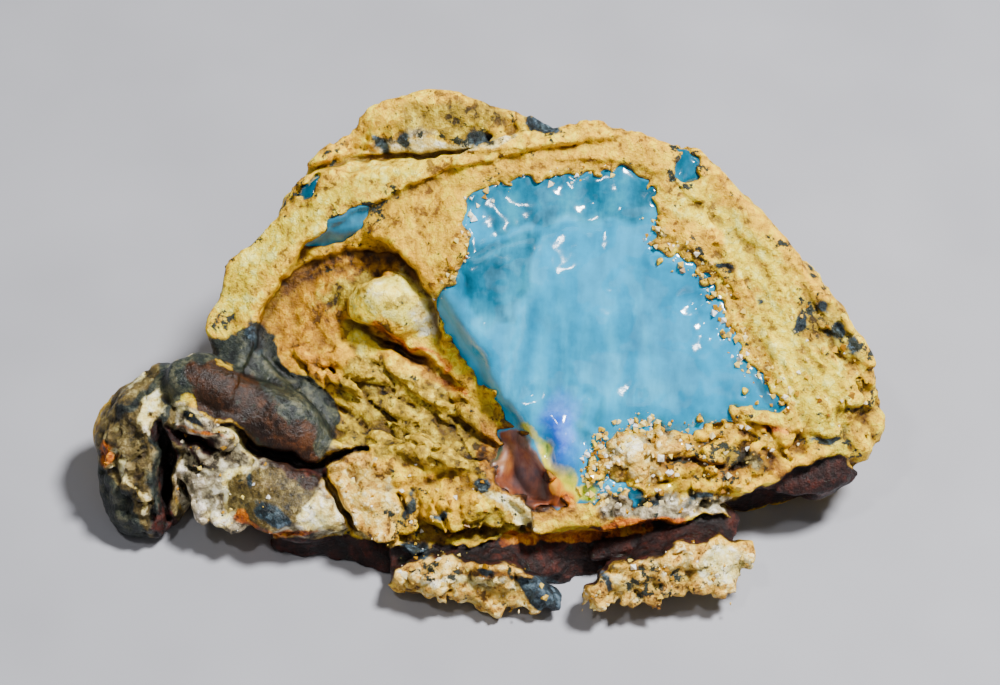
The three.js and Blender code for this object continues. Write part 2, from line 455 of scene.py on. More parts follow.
GROOVES = (
    Groove(((-11.6, 1.0), (-10.0, -0.1), (-8.3, -0.6), (-6.5, -1.8), (-5.2, -3.0)), 0.5, 2.2),
    Groove(((-23.4, -6.9), (-20.6, -8.7), (-18.1, -9.7), (-16.0, -10.4), (-15.0, -11.4)), 0.6, 2.0),
    Groove(((-16.2, -10.2), (-15.3, -10.9), (-14.9, -11.8)), 0.9, 2.4),
    Groove(((-27.8, -7.0), (-26.4, -8.3), (-25.0, -8.7), (-23.0, -9.2)), 0.5, 1.6),
    Groove(((-26.9, -9.1), (-25.6, -10.0), (-24.6, -10.9), (-23.8, -11.2)), 0.25, 0.8),
    Groove(((-28.4, -6.6), (-28.3, -10.6), (-28.2, -15.0)), 0.8, 2.4),
    Groove(((-18.0, -9.9), (-15.3, -10.6), (-14.0, -9.7), (-12.8, -9.3), (-11.2, -9.2)), 0.6, 2.2),
    Groove(((-15.2, -10.4), (-14.7, -11.6), (-13.8, -13.2), (-13.0, -14.7), (-11.3, -16.4)), 0.42, 1.8),
    Groove(((-27.2, -9.8), (-25.5, -10.9), (-24.2, -11.9)), 0.3, 0.9),
    Groove(((-27.6, -10.4), (-26.6, -12.6), (-25.8, -14.2)), 0.35, 1.1),
    Groove(((-10.9, -4.7), (-9.8, -6.0), (-8.9, -6.7)), 0.3, 0.9),
    Groove(((-6.3, -5.2), (-5.0, -6.9), (-4.0, -7.5)), 0.3, 0.9),
    Groove(((-8.6, -2.8), (-6.3, -4.3), (-4.2, -4.8), (-2.5, -5.3), (-1.2, -6.2)), 0.24, 0.6),
    Groove(((-5.0, -10.4), (-3.2, -10.9), (-1.8, -11.0)), 0.25, 0.7),
    Groove(((-10.9, -3.6), (-8.0, -5.2), (-5.6, -6.2)), 0.2, 0.5),
    Groove(((-9.2, -8.0), (-6.0, -8.6), (-3.4, -9.6)), 0.2, 0.5),
    Groove(((-19.5, 1.4), (-17.5, 0.7), (-15.5, 0.0)), 0.2, 0.4),
    Groove(((-17.5, -0.6), (-15.0, -1.8), (-12.0, -3.6)), 0.25, 0.5),
    Groove(((-17.8, 2.6), (-16.0, 1.8), (-14.6, 1.0)), 0.2, 0.4),
    Groove(((-9.6, -12.0), (-8.4, -12.9), (-7.8, -14.6), (-8.6, -15.4)), 0.3, 0.8),
    Groove(((-11.3, -11.6), (-10.6, -11.9), (-9.6, -11.5)), 0.2, 0.5),
    Groove(((-5.8, -13.2), (-4.6, -15.0), (-4.0, -16.2)), 0.3, 0.7),
    Groove(
        ((-21.3, 12.2), (-17.5, 14.2), (-13.5, 15.3), (-9.0, 15.6), (-4.5, 15.9), (-2.0, 16.3)), 0.4, 1.2,
    ),
    Groove(((22.5, -12.9), (25.0, -11.2), (27.6, -10.3), (29.0, -9.8)), 0.3, 0.8),
    Groove(((28.5, -3.0), (29.2, -7.0), (28.2, -10.2)), 0.2, 0.35),
    Groove(((13.4, -10.2), (16.2, -9.6), (18.4, -10.6), (21.6, -10.0)), 0.35, 0.9),
    Groove(((14.4, -8.0), (17.0, -8.4), (20.2, -7.6)), 0.25, 0.6),
    Groove(((7.3, -6.4), (7.2, -8.2), (7.0, -10.2)), 0.3, 0.6),
    Groove(((8.6, -6.4), (8.3, -8.0)), 0.2, 0.4),
    Groove(((3.3, -7.2), (4.0, -9.4), (4.6, -11.2)), 0.25, 0.5),
)
BULGES = (
    Bulge(Oval(-15.2, 14.8, 3.8, 2.6, 48), 1.1),
    Bulge(Oval(-6.2, 20.2, 6.0, 4.0, 4), 1.0),
    Bulge(Oval(-19.0, -13.0, 3.9, 3.0, -12), 0.8),
    Bulge(Oval(-8.7, 3.4, 4.2, 3.0, 20), 0.5),
    Bulge(Oval(5.3, -8.4, 1.4, 2.8, 10), 0.8),
    Bulge(Oval(2.2, -11.2, 2.3, 1.7, -60), -1.2),
    Bulge(Oval(-26.2, -6.0, 2.4, 1.5, -25), 0.7),
    Bulge(Oval(-25.4, -13.0, 1.8, 2.6, 20), 0.5),
    Bulge(Oval(-11.4, -12.6, 2.4, 1.6, -20), 0.5),
    Bulge(Oval(-5.2, -13.8, 2.2, 1.7, -10), 0.6),
    Bulge(Oval(12.0, -9.5, 2.6, 2.0, 20), 0.5),
    Bulge(Oval(18.0, -9.0, 3.2, 1.8, 10), 0.4),
    Bulge(Oval(14.2, -20.2, 10.5, 5.0, 8), 0.5),
    Bulge(Oval(-2.2, -20.8, 10.5, 4.6, -10), 0.9),
    Bulge(Oval(-23.6, -6.6, 3.2, 1.3, -30), 0.4),
    Bulge(Oval(-24.4, -11.6, 2.0, 3.0, 25), 0.4),
)
# Nicks in the fresh break: where each lies, how wide it is and how deep. A lamp glints off their sides.
NICKS = tuple(
    Bulge(Oval(across, up, half, half * 0.8, 30), -deep)
    for across, up, half, deep in (
        (-1.6, 2.2, 1.2, 0.34), (2.6, -4.2, 1.0, 0.28), (7.0, -4.5, 0.8, 0.24), (11.8, -4.4, 0.9, 0.28),
        (15.8, 3.5, 1.4, 0.36), (16.9, 1.6, 1.5, 0.36), (12.5, 7.9, 0.9, 0.26), (7.5, 11.7, 1.1, 0.28),
        (5.4, 13.3, 0.9, 0.26), (4.2, 5.6, 0.7, 0.22), (9.1, 5.0, 0.6, 0.18), (8.6, 9.3, 0.6, 0.18),
    )
)


class Zone(Enum):
    """Stretches of the broad face whose rind or resin looks its own way; some of them also carry painted
    shade, painted glow or painted highlights.
    """

    GOLDEN = "golden"
    PALE = "pale"
    HONEY = "honey"
    OLIVE = "olive"
    BROWN = "brown"
    CREAM = "cream"
    SILVER = "silver"
    GREENISH = "greenish"
    RUSSET = "russet"
    DUSKY = "dusky"
    MAROON_SHADE = "maroon_shade"
    ORANGE_GLOW = "orange_glow"
    IVORY_HIGHLIGHT = "ivory_highlight"
    LEMON = "lemon"
    SLATE = "slate"
    DARK = "dark"
    GLOSSY = "glossy"
    COARSE = "coarse"
    CRUMBLY = "crumbly"
    PLATY = "platy"
    STREAKY = "streaky"
    SKY = "sky"
    MILKY = "milky"
    TEAL = "teal"
    VIOLET = "violet"
    STRAW = "straw"
    SATIN = "satin"


NODULE = Outline((
    (-26.5, -0.2), (-29.4, -1.6), (-31.5, -3.6), (-32.9, -5.7), (-33.8, -8.6), (-33.8, -11.6),
    (-32.8, -14.1), (-31.1, -15.9), (-28.6, -17.3), (-27.7, -14.9), (-28.2, -10.7), (-27.7, -6.5),
    (-28.2, -3.2),
))
DOME = Outline((
    (-22.9, -10.7), (-20.0, -9.9), (-16.8, -10.7), (-15.3, -12.0), (-15.8, -13.7), (-17.6, -15.1),
    (-20.0, -15.7), (-21.8, -14.5), (-22.9, -12.8),
))
LOBE_TOP = Outline((
    (-22.0, 0.4), (-20.0, -0.2), (-18.9, -1.5), (-17.5, -3.6), (-15.0, -4.8), (-14.0, -7.4),
    (-13.9, -8.9), (-15.0, -9.5), (-16.0, -7.5), (-18.1, -6.3), (-20.0, -4.4), (-21.4, -3.0),
    (-22.3, -1.5),
))
LOBE_FACE = Outline((
    (-25.8, -1.6), (-23.9, -1.7), (-21.8, -2.7), (-20.0, -4.4), (-18.1, -6.3), (-16.0, -7.5),
    (-15.0, -9.5), (-15.8, -10.0), (-18.1, -9.5), (-20.6, -8.2), (-23.1, -6.1), (-25.0, -4.9),
    (-25.8, -3.6),
))
LOBE_END = Oval(-27.2, -2.7, 1.8, 2.1)
SLATY_FOOT = Oval(3.6, -20.9, 2.8, 1.3, -30)
LEFT_WINDOW = Oval(-13.5, 9.8, 4.4, 2.6, 35)
TOP_WINDOW = Oval(15.3, 15.0, 2.0, 2.8)
CLUSTER = Outline((
    (-28.0, -4.8), (-25.5, -4.9), (-23.4, -6.6), (-21.0, -8.4), (-18.5, -9.8), (-16.5, -10.4),
    (-14.6, -12.6), (-12.6, -16.2), (-16.8, -16.4), (-23.0, -16.2), (-26.6, -15.4), (-28.2, -9.0),
))
BLOCKS = Outline((
    (-14.0, -9.8), (-11.0, -9.6), (-7.5, -9.9), (-5.0, -10.6), (-2.2, -11.2), (-0.2, -12.2), (2.5, -14.2),
    (2.8, -15.9), (-4.0, -16.8), (-8.5, -17.2), (-11.5, -16.4), (-13.2, -13.5),
))
SLOPE = Outline((
    (-13.8, -3.4), (-12.4, -0.8), (-10.0, -1.6), (-7.0, -2.8), (-4.4, -4.2), (-1.0, -6.6), (-0.3, -9.8),
    (-0.6, -11.8), (-5.0, -10.4), (-8.5, -9.7), (-12.0, -9.3), (-14.0, -8.2), (-13.6, -6.0),
))
NUGGETS = Outline((
    (7.6, -10.0), (8.4, -8.4), (11.0, -6.8), (15.0, -6.4), (20.0, -6.0), (25.0, -7.0), (26.5, -9.0),
    (21.0, -11.8), (16.0, -14.2), (9.0, -14.2), (6.8, -13.0),
))
FIRST_LEDGE = Outline((
    (-8.6, -17.8), (-6.6, -17.2), (-3.6, -17.4), (2.0, -18.6), (5.8, -22.4), (0.0, -23.5), (-9.0, -21.0),
))
SECOND_LEDGE = Outline((
    (5.6, -21.5), (8.0, -19.2), (11.5, -17.9), (15.7, -16.6), (20.6, -16.3), (22.5, -18.0), (21.0, -23.0),
    (6.5, -24.0),
))
ZONES: dict[Zone, tuple[float, tuple[Shape, ...]]] = {
    Zone.GOLDEN: (0.8, (
        Outline((
            (-19.5, 3.0), (-16.5, 8.0), (-10.4, 11.6), (-4.0, 14.3), (2.0, 15.6), (9.0, 16.2),
            (9.0, 14.6), (-1.0, 13.4), (-3.0, 12.0), (-3.0, 7.5), (-5.5, 3.5), (-8.0, 7.3), (-12.0, 7.9),
            (-16.0, 6.3),
        )),
        Outline((
            (-20.0, 2.0), (-17.5, 4.0), (-13.5, 1.5), (-12.0, -1.6), (-13.6, -3.6), (-14.0, -6.0),
            (-16.8, -4.2), (-19.3, -0.8),
        )),
        Band(((15.6, 15.2), (21.0, 10.6), (26.8, 5.0)), 0.8),
        Band(((14.0, 10.0), (17.6, 8.4)), 1.0),
        Oval(10.0, 15.8, 6.0, 1.3),
        Oval(-5.4, -13.0, 3.2, 2.0, -10),
        Outline(((15.0, -7.6), (20.0, -6.2), (25.6, -7.0), (26.0, -10.0), (20.0, -12.6), (15.5, -12.2))),
    )),
    Zone.HONEY: (1.0, (
        Outline((
            (-19.4, 3.4), (-16.6, 6.4), (-13.2, 7.8), (-9.8, 7.8), (-6.9, 6.2), (-6.2, 4.4), (-8.2, 5.9),
            (-10.8, 5.3), (-12.4, 4.0), (-13.6, 1.5), (-13.4, -1.6), (-15.0, -3.8), (-17.6, -2.6),
            (-20.0, 0.8),
        )),
    )),
    Zone.PALE: (1.0, (
        Oval(19.4, 8.4, 6.6, 1.7, -44),
        Oval(23.5, 0.5, 4.0, 2.0, -60),
        Oval(-12.4, 1.4, 2.4, 3.4, 10),
        Oval(26.5, -4.0, 4.5, 2.6, -60),
        Oval(-16.5, 10.3, 6.5, 1.2, 42),
        Oval(-21.6, 6.2, 4.6, 1.4, 66),
        Oval(-8.0, 14.6, 4.5, 0.8, 14),
    )),
    Zone.OLIVE: (1.0, (
        SLOPE,
        Oval(-0.6, -15.3, 2.8, 1.0, 0),
        Oval(-12.8, 4.6, 3.0, 0.9, 20),
        Oval(-4.4, 18.8, 4.6, 1.6, 5),
        Oval(19.6, -9.8, 1.6, 1.1, 20),
        Oval(27.6, 1.4, 3.6, 1.4, -50),
    )),
    # Painted shade: deeper brown in the arch's shadow, along cracks and on shaded walls.
    Zone.BROWN: (0.7, (
        Grown(NOTCH, 0.8),
        Band(((-18.0, 4.0), (-15.6, 6.0), (-12.0, 6.9), (-9.0, 6.4), (-6.6, 4.2), (-5.6, 2.6)), 0.7),
        Band(((-11.4, 1.0), (-8.3, -0.5), (-4.2, -3.8)), 0.4),
        Oval(-1.0, -8.6, 0.9, 2.4, 5),
        Band(((13.4, -10.2), (16.2, -9.6), (18.4, -10.6), (21.6, -10.0), (24.6, -10.8)), 0.5),
        Outline(((-5.6, -19.0), (1.0, -19.2), (2.4, -20.0), (-1.0, -20.0), (-5.6, -19.6))),
        Oval(14.8, -21.9, 4.5, 0.5, 4),
    )),
    Zone.CREAM: (0.8, (
        Outline((
            (-14.3, -9.9), (-11.5, -9.5), (-9.4, -10.5), (-8.3, -13.5), (-9.0, -17.2), (-12.3, -16.4),
            (-13.6, -13.5),
        )),
        Outline(((8.2, -9.0), (9.6, -7.4), (13.0, -6.9), (17.0, -8.4), (14.6, -11.0), (9.6, -11.4))),
        SECOND_LEDGE,
        FIRST_LEDGE,
    )),
    Zone.SILVER: (0.6, (
        Oval(-6.6, 17.9, 1.8, 1.2, 20),
        Oval(-9.8, 16.4, 1.2, 0.8, 20),
        CLUSTER,
        Band(((-6.0, -3.6), (-3.4, -6.0), (-1.6, -7.4)), 0.3),
        Band(((-13.6, -8.6), (-11.2, -8.4)), 0.45),
        Oval(12.6, -20.6, 3.0, 0.8, 14),
        Outline(((8.6, -13.0), (12.6, -12.4), (19.0, -13.0), (21.0, -14.2), (13.0, -14.6), (9.0, -14.4))),
    )),
    Zone.DUSKY: (0.45, (Grown(NODULE, 0.9), DOME, Oval(20.8, -10.0, 1.0, 0.5))),
    Zone.GREENISH: (0.45, (
        Grown(LOBE_TOP, 0.5),
        LOBE_END,
        Band(((-26.4, -1.2), (-24.4, -0.6), (-22.2, -0.4)), 0.9),
        Outline((
            (-22.2, 1.0), (-19.6, 1.4), (-17.8, -2.4), (-14.6, -4.4), (-15.0, -5.4), (-18.6, -4.0),
            (-20.4, -0.6),
        )),
        Band(((-28.6, -2.8), (-30.6, -4.2), (-31.6, -6.5)), 0.4),
        Outline((
            (-34.6, -10.3), (-32.6, -11.2), (-31.0, -12.6), (-30.9, -14.3), (-29.6, -15.6),
            (-28.6, -18.0), (-33.0, -18.0), (-35.0, -14.1),
        )),
        Band(((-28.6, -5.0), (-28.4, -16.0)), 0.8),
    )),
    Zone.RUSSET: (0.45, (
        Grown(LOBE_FACE, 0.3),
        NOTCH,
        Outline((
            (-20.0, -9.6), (-18.1, -9.5), (-15.2, -11.6), (-15.0, -12.6), (-16.8, -11.8), (-18.3, -10.7),
        )),
    )),
    # Painted shade: the walls under the overhangs, the ground below the lower left end and the gaps and
    # cracks of the cluster are near-black, deepening the dark red-brown of the resin there.
    Zone.MAROON_SHADE: (0.4, (
        Grown(UNDERCUT, 0.1),
        Grown(RIGHT_UNDERCUT, 0.4),
        Band(((19.6, -13.9), (21.8, -12.7)), 0.7),
        Outline(((-40.0, -18.0), (-26.0, -16.8), (-10.0, -18.6), (-10.0, -26.0), (-40.0, -26.0))),
        Outline((
            (-27.8, -6.7), (-26.5, -8.0), (-25.2, -8.4), (-22.8, -8.9), (-24.8, -9.4), (-26.9, -9.0),
            (-28.0, -8.0),
        )),
        Band(((-28.5, -6.8), (-28.3, -10.6), (-28.0, -15.0)), 0.5),
        Band((
            (-23.2, -7.0), (-20.6, -8.8), (-18.1, -9.8), (-16.0, -10.5), (-13.4, -9.6), (-11.4, -9.3),
        ), 0.28),
        Outline((
            (-16.3, -10.0), (-14.9, -9.9), (-14.3, -10.9), (-14.6, -12.2), (-15.8, -11.6), (-17.0, -10.6),
        )),
        Band(((-27.0, -9.0), (-25.6, -10.0), (-24.0, -11.1)), 0.2),
    )),
    # Painted glow: bright orange along thin edges of resin where light shines through them, over their own
    # orange-brown.
    Zone.ORANGE_GLOW: (0.35, (
        Band(((1.0, -16.5), (4.6, -16.3), (8.4, -15.8), (12.5, -15.5)), 0.6),
        Band(((8.0, -15.0), (12.0, -14.7), (15.6, -14.5)), 0.35),
        Band(((-10.4, 1.0), (-8.3, 0.3), (-6.3, -0.9), (-4.6, -2.2)), 0.25),
        Band(((-4.9, -3.0), (-3.0, -4.4)), 0.35),
        Band(((-21.8, -13.9), (-21.0, -15.2), (-18.9, -16.0), (-16.6, -15.8), (-15.2, -15.2)), 0.35),
        Band(((4.3, -11.2), (5.8, -13.4)), 0.35),
        Oval(-33.2, -9.6, 0.7, 1.2),
        Oval(22.5, -7.0, 1.2, 0.5),
        Oval(-24.8, -7.9, 1.6, 0.25, -12),
    )),
    # Cream to off-white patches of their own, with painted highlights on a few small spots, as on the
    # cluster's glassy block and the lobe's end.
    Zone.IVORY_HIGHLIGHT: (0.5, (
        Oval(-6.6, 2.2, 0.8, 1.6, 10),
        Outline(((-30.1, -4.5), (-28.7, -3.5), (-28.5, -5.4), (-29.1, -7.8), (-30.0, -7.2))),
        Band(((-32.4, -9.6), (-31.9, -10.6), (-30.6, -11.9), (-29.8, -12.8), (-29.7, -14.3)), 0.2),
        Band(((-27.4, -0.6), (-29.8, -1.6), (-31.8, -3.4)), 0.12),
        Band(((-21.2, -10.2), (-22.6, -11.2), (-22.9, -12.8), (-22.5, -14.2)), 0.3),
        Band(((-23.4, -7.6), (-21.6, -8.6), (-20.6, -9.6)), 0.35),
        Outline((
            (-16.6, -13.2), (-15.2, -12.6), (-13.6, -14.6), (-13.2, -16.6), (-15.0, -15.6),
            (-16.8, -15.0),
        )),
        Outline(((-1.9, -12.2), (0.2, -12.5), (2.7, -14.0), (2.8, -15.6), (1.2, -14.8), (-0.6, -13.6))),
        Oval(-26.0, -5.6, 1.2, 0.4, -20),
        Oval(-25.4, -6.9, 0.7, 0.4, -20),
        Oval(-24.0, -14.4, 1.0, 0.45, -20),
        Oval(-3.0, -19.9, 3.6, 0.5, -6),
        Oval(10.4, -8.6, 1.6, 0.9, 30),
        Oval(18.6, -18.4, 2.6, 1.4, 10),
        Oval(-26.8, -0.8, 0.6, 0.3, 40),
        Band(((-9.0, 15.9), (-4.6, 16.3), (0.6, 17.0)), 0.5),
    )),
    Zone.LEMON: (0.6, (
        Outline((
            (-11.6, 4.0), (-10.2, 5.5), (-8.0, 6.0), (-6.3, 5.0), (-5.3, 2.6), (-5.6, 0.9), (-7.8, 1.5),
            (-10.6, 1.8),
        )),
    )),
    Zone.SLATE: (0.35, (
        Oval(-18.7, -14.2, 1.7, 0.85, -20),
        Oval(-22.9, -15.6, 0.9, 0.5, -30),
        SLATY_FOOT,
        Oval(-1.4, -19.0, 0.9, 0.35, -20),
        Oval(9.0, -19.9, 1.0, 0.45, -40),
        Oval(-8.0, 16.8, 0.5, 1.2, 20),
        Oval(-10.2, 16.6, 0.5, 1.4, 30),
        Oval(-1.5, 17.3, 1.5, 0.8),
        Oval(3.5, 18.2, 1.4, 0.8, -20),
        Oval(-7.6, -13.8, 0.45, 0.9, -15),
        Oval(-4.8, -14.3, 0.45, 0.4),
        Oval(-1.4, -11.9, 1.1, 0.4, 25),
        Oval(-7.2, -17.0, 1.3, 0.6, -10),
        Oval(-25.6, -6.2, 1.1, 0.5, -35),
        Oval(-20.6, 0.6, 0.5, 1.0, 10),
        Oval(21.6, 3.0, 0.5, 0.35),
        Oval(24.9, 2.1, 0.6, 0.8),
        Oval(27.0, 3.4, 0.9, 0.4, -40),
        Oval(28.6, 0.6, 0.5, 0.9, -30),
        Oval(29.6, -0.4, 0.45, 1.0, -35),
        Oval(19.0, 6.4, 1.0, 0.4, -20),
        Oval(27.5, -7.9, 1.4, 0.4),
        Oval(12.6, -13.0, 1.5, 0.35, 5),
        Oval(16.8, -12.9, 1.3, 0.35, 5),
        Oval(-21.0, -11.4, 0.4, 0.9, 10),
    )),
    Zone.DARK: (1.2, (
        Band(((25.0, 3.2), (28.0, 1.0), (30.4, -1.5), (31.0, -4.5)), 0.9),
        Oval(17.6, 6.4, 2.4, 0.8, -35),
        Band(((-24.0, 6.5), (-20.5, 10.5), (-17.0, 13.2)), 0.9),
        Band(((-26.5, 0.6), (-23.0, 1.6)), 1.3),
        Band(((23.0, 8.8), (27.0, 5.0)), 0.6),
        Band(((26.0, -8.0), (29.5, -8.6)), 0.7),
        Band(((4.5, 17.8), (-12.0, 17.0), (-16.0, 15.0)), 0.5),
        Oval(14.8, 15.2, 1.6, 2.4, 0),
        Oval(17.5, -9.8, 4.0, 1.6, 5),
        Oval(-12.0, 10.4, 4.0, 2.0, 35),
        Oval(13.0, -20.0, 4.0, 1.2, 12),
        Oval(-4.0, -19.0, 4.0, 1.0, -8),
        Oval(-8.0, -14.4, 1.6, 1.6),
    )),
    Zone.GLOSSY: (0.5, (LOBE_TOP, LOBE_FACE, LOBE_END, DOME, NOTCH, Oval(-8.6, 3.6, 2.8, 1.8, 20))),
    Zone.COARSE: (1.0, (CLUSTER, BLOCKS)),
    Zone.CRUMBLY: (0.8, (
        NUGGETS,
        FIRST_LEDGE,
        SECOND_LEDGE,
        NODULE,
        Oval(1.6, 17.6, 2.2, 1.2),
        Oval(-11.6, 16.2, 2.6, 1.2, 20),
    )),
    Zone.PLATY: (1.2, (
        Band(((28.0, 1.6), (30.6, -3.0), (30.4, -8.6)), 1.6),
        Outline((
            (-19.0, -1.0), (-11.0, -0.5), (-6.0, -2.5), (0.0, -6.6), (0.5, -11.6), (-5.0, -10.6),
            (-10.0, -9.2), (-14.3, -8.0), (-16.5, -5.5),
        )),
    )),
    Zone.STREAKY: (2.5, (
        Outline((
            (14.0, 13.0), (19.0, 12.0), (28.0, 4.0), (33.0, -5.0), (30.0, -10.0), (24.0, -7.0),
            (21.0, 0.0), (16.0, 8.0),
        )),
        Oval(-16.0, 1.0, 4.5, 2.5, -20),
    )),
    Zone.SKY: (0.5, (Grown(MAIN_WINDOW, 1.6), LEFT_WINDOW, TOP_WINDOW)),
    Zone.MILKY: (0.8, (
        Oval(1.2, -1.5, 0.45, 5.2, 3), Oval(3.3, -3.0, 0.35, 3.6, -4), Oval(5.6, -2.5, 0.4, 3.8, 4),
        Oval(7.4, -3.6, 0.3, 2.6, 2), Oval(9.6, -2.0, 0.35, 3.2, 5), Oval(11.8, 0.5, 0.3, 3.0, 8),
        Oval(-1.6, 1.8, 1.1, 1.2), Oval(0.2, -4.5, 1.6, 1.2), Oval(11.5, -4.4, 3.4, 0.8, 5),
        Band(((-2.6, 6.7), (2.6, 8.9), (3.8, 9.3), (12.8, 10.7)), 0.22),
        Band(((3.4, 9.2), (3.0, 5.5), (1.4, 1.0)), 0.25),
    )),
    Zone.TEAL: (0.7, (
        Outline((
            (-2.8, 13.2), (10.5, 14.8), (13.2, 13.5), (13.2, 10.8), (8.3, 10.2), (3.8, 9.4), (-0.5, 9.2),
        )),
        Outline(((-2.8, 8.4), (3.0, 9.0), (2.8, 5.0), (1.2, 1.8), (-1.0, 1.4), (-3.2, 4.0))),
        Band(((20.5, -1.6), (23.8, -5.0)), 1.0),
        LEFT_WINDOW,
        TOP_WINDOW,
        Oval(7.4, -8.2, 0.35, 2.2, 5),
        Oval(8.6, -7.2, 0.3, 1.6, -5),
        Band(((-17.9, 11.7), (-15.5, 13.6)), 1.2),
    )),
    Zone.VIOLET: (0.8, (Oval(5.3, -7.6, 1.3, 2.6, 8),)),
    Zone.STRAW: (0.4, (
        Band(((2.4, -7.2), (3.9, -9.4), (4.8, -11.6), (5.8, -13.0)), 0.5),
        Oval(5.2, -11.0, 0.8, 1.3, 10),
        Oval(7.0, -12.4, 1.2, 0.7, 0),
    )),
    Zone.SATIN: (0.6, (
        NOTCH,
        Band(((-4.6, 3.0), (-4.2, 0.4), (-1.6, -3.6), (0.8, -6.8)), 1.3),
        LEFT_WINDOW,
    )),
}


class Sheet:
    """Everything drawn on the broad face, worked out once on a flat sheet and read by place."""

    STEP = 0.125
    LOW = (-37.0, -27.0)
    COUNT = (592, 432)
    CUT_WANDER = 0.35
    CUT_CRUMBLE = 0.16
    WINDOW_WANDER = 0.5
    ZONE_WANDER = 0.8

    def __init__(self) -> None:
        """Draws the sheet: what is cut away, the windows, and every zone, their edges made to wander."""
        across = self.LOW[0] + self.STEP * np.arange(self.COUNT[0], dtype=np.float32)
        up = self.LOW[1] + self.STEP * np.arange(self.COUNT[1], dtype=np.float32)
        flat = np.stack(np.meshgrid(across, up, indexing="ij"), axis=2).reshape(-1, 2)
        space = np.concatenate([flat, np.zeros((len(flat), 1), np.float32)], axis=1)
        noise = Noise(21)
        swell = np.stack([noise.fractal(space, 2.6, 3), noise.fractal(space + 40.0, 2.6, 3)], axis=1)
        crumble = np.stack([noise.fractal(space, 0.9, 2), noise.fractal(space + 60.0, 0.9, 2)], axis=1)
        self.layers = {
            "cut": self.cut(flat + self.CUT_WANDER * swell + self.CUT_CRUMBLE * crumble),
            "window": self.windows(flat + self.WINDOW_WANDER * swell, space, noise),
        }
        loose = flat + self.ZONE_WANDER * swell
        for zone, (softness, shapes) in ZONES.items():
            depth = np.maximum.reduce([shape.depth(loose) for shape in shapes])
            self.layers[zone.value] = smooth_step(depth, -softness, softness)

    @staticmethod
    def cut(places: np.ndarray) -> np.ndarray:
        """Works out how the ground is cut down or swells up.

        Args:
            places: Places on the face, in mm.

        Returns:
            How far the ground lies below its usual level, in mm. In low ground a crack adds little more.
        """
        total = np.zeros(len(places), np.float32)
        for feature in (*LAYERS, *BULGES, *NICKS):
            total += feature.cut(places)
        deepest = np.maximum.reduce([groove.cut(places) for groove in GROOVES])
        in_low_ground = np.maximum(total + 0.3 * deepest, deepest)
        return np.where(total > 0.0, in_low_ground, total + deepest)

    @staticmethod
    def windows(places: np.ndarray, space: np.ndarray, noise: Noise) -> np.ndarray:
        """Works out the windows, whose edges are ragged and flaky, most of all on the right.

        Args:
            places: Places on the face, in mm, made to wander.
            space: The same places before that, as points for the noise.
            noise: What breaks up the edges.

        Returns:
            How far inside a window each place lies, in mm.
        """
        depth = np.maximum.reduce([window.depth(places) for window in WINDOWS])
        covered = np.maximum.reduce([shape.depth(places) for shape in COVERED])
        flaky = 0.3 + 0.7 * smooth_step(places[:, 0] - 0.5 * places[:, 1], 6.0, 11.0)
        ragged = 0.5 * noise.at(space, 1.7) + 0.45 * noise.at(space, 0.85) + 0.3 * noise.at(space, 0.45)
        crumbs = 1.8 * smooth_step(noise.at(space + 9.0, 0.9), 0.18, 0.5)
        crumbs *= smooth_step(-np.abs(depth), -2.2, -0.4)
        return np.minimum(depth, -covered) + flaky * (ragged - crumbs)

    def read(self, name: str, places: np.ndarray) -> np.ndarray:
        """Reads one layer of the sheet.

        Args:
            name: The layer's name.
            places: Places on the face, in mm, of which across and up are used.

        Returns:
            The layer's value at each place.
        """
        values = self.layers[name].reshape(self.COUNT)
        column = np.clip((places[:, 0] - self.LOW[0]) / self.STEP, 0.0, self.COUNT[0] - 1.001)
        row = np.clip((places[:, 1] - self.LOW[1]) / self.STEP, 0.0, self.COUNT[1] - 1.001)
        left = column.astype(np.int32)
        below = row.astype(np.int32)
        along = column - left
        rise = row - below
        lower = values[left, below] * (1.0 - along) + values[left + 1, below] * along
        upper = values[left, below + 1] * (1.0 - along) + values[left + 1, below + 1] * along
        return (lower * (1.0 - rise) + upper * rise).astype(np.float32)


# ---------------------------------------------------------------- solids as distance fields


def corner_points(mesh: bpy.types.Mesh) -> np.ndarray:
    """Returns a mesh's corners in mm, one a row."""
    points = np.empty(len(mesh.vertices) * 3, np.float32)
    mesh.vertices.foreach_get("co", points)
    return points.reshape(-1, 3) / np.float32(MM)


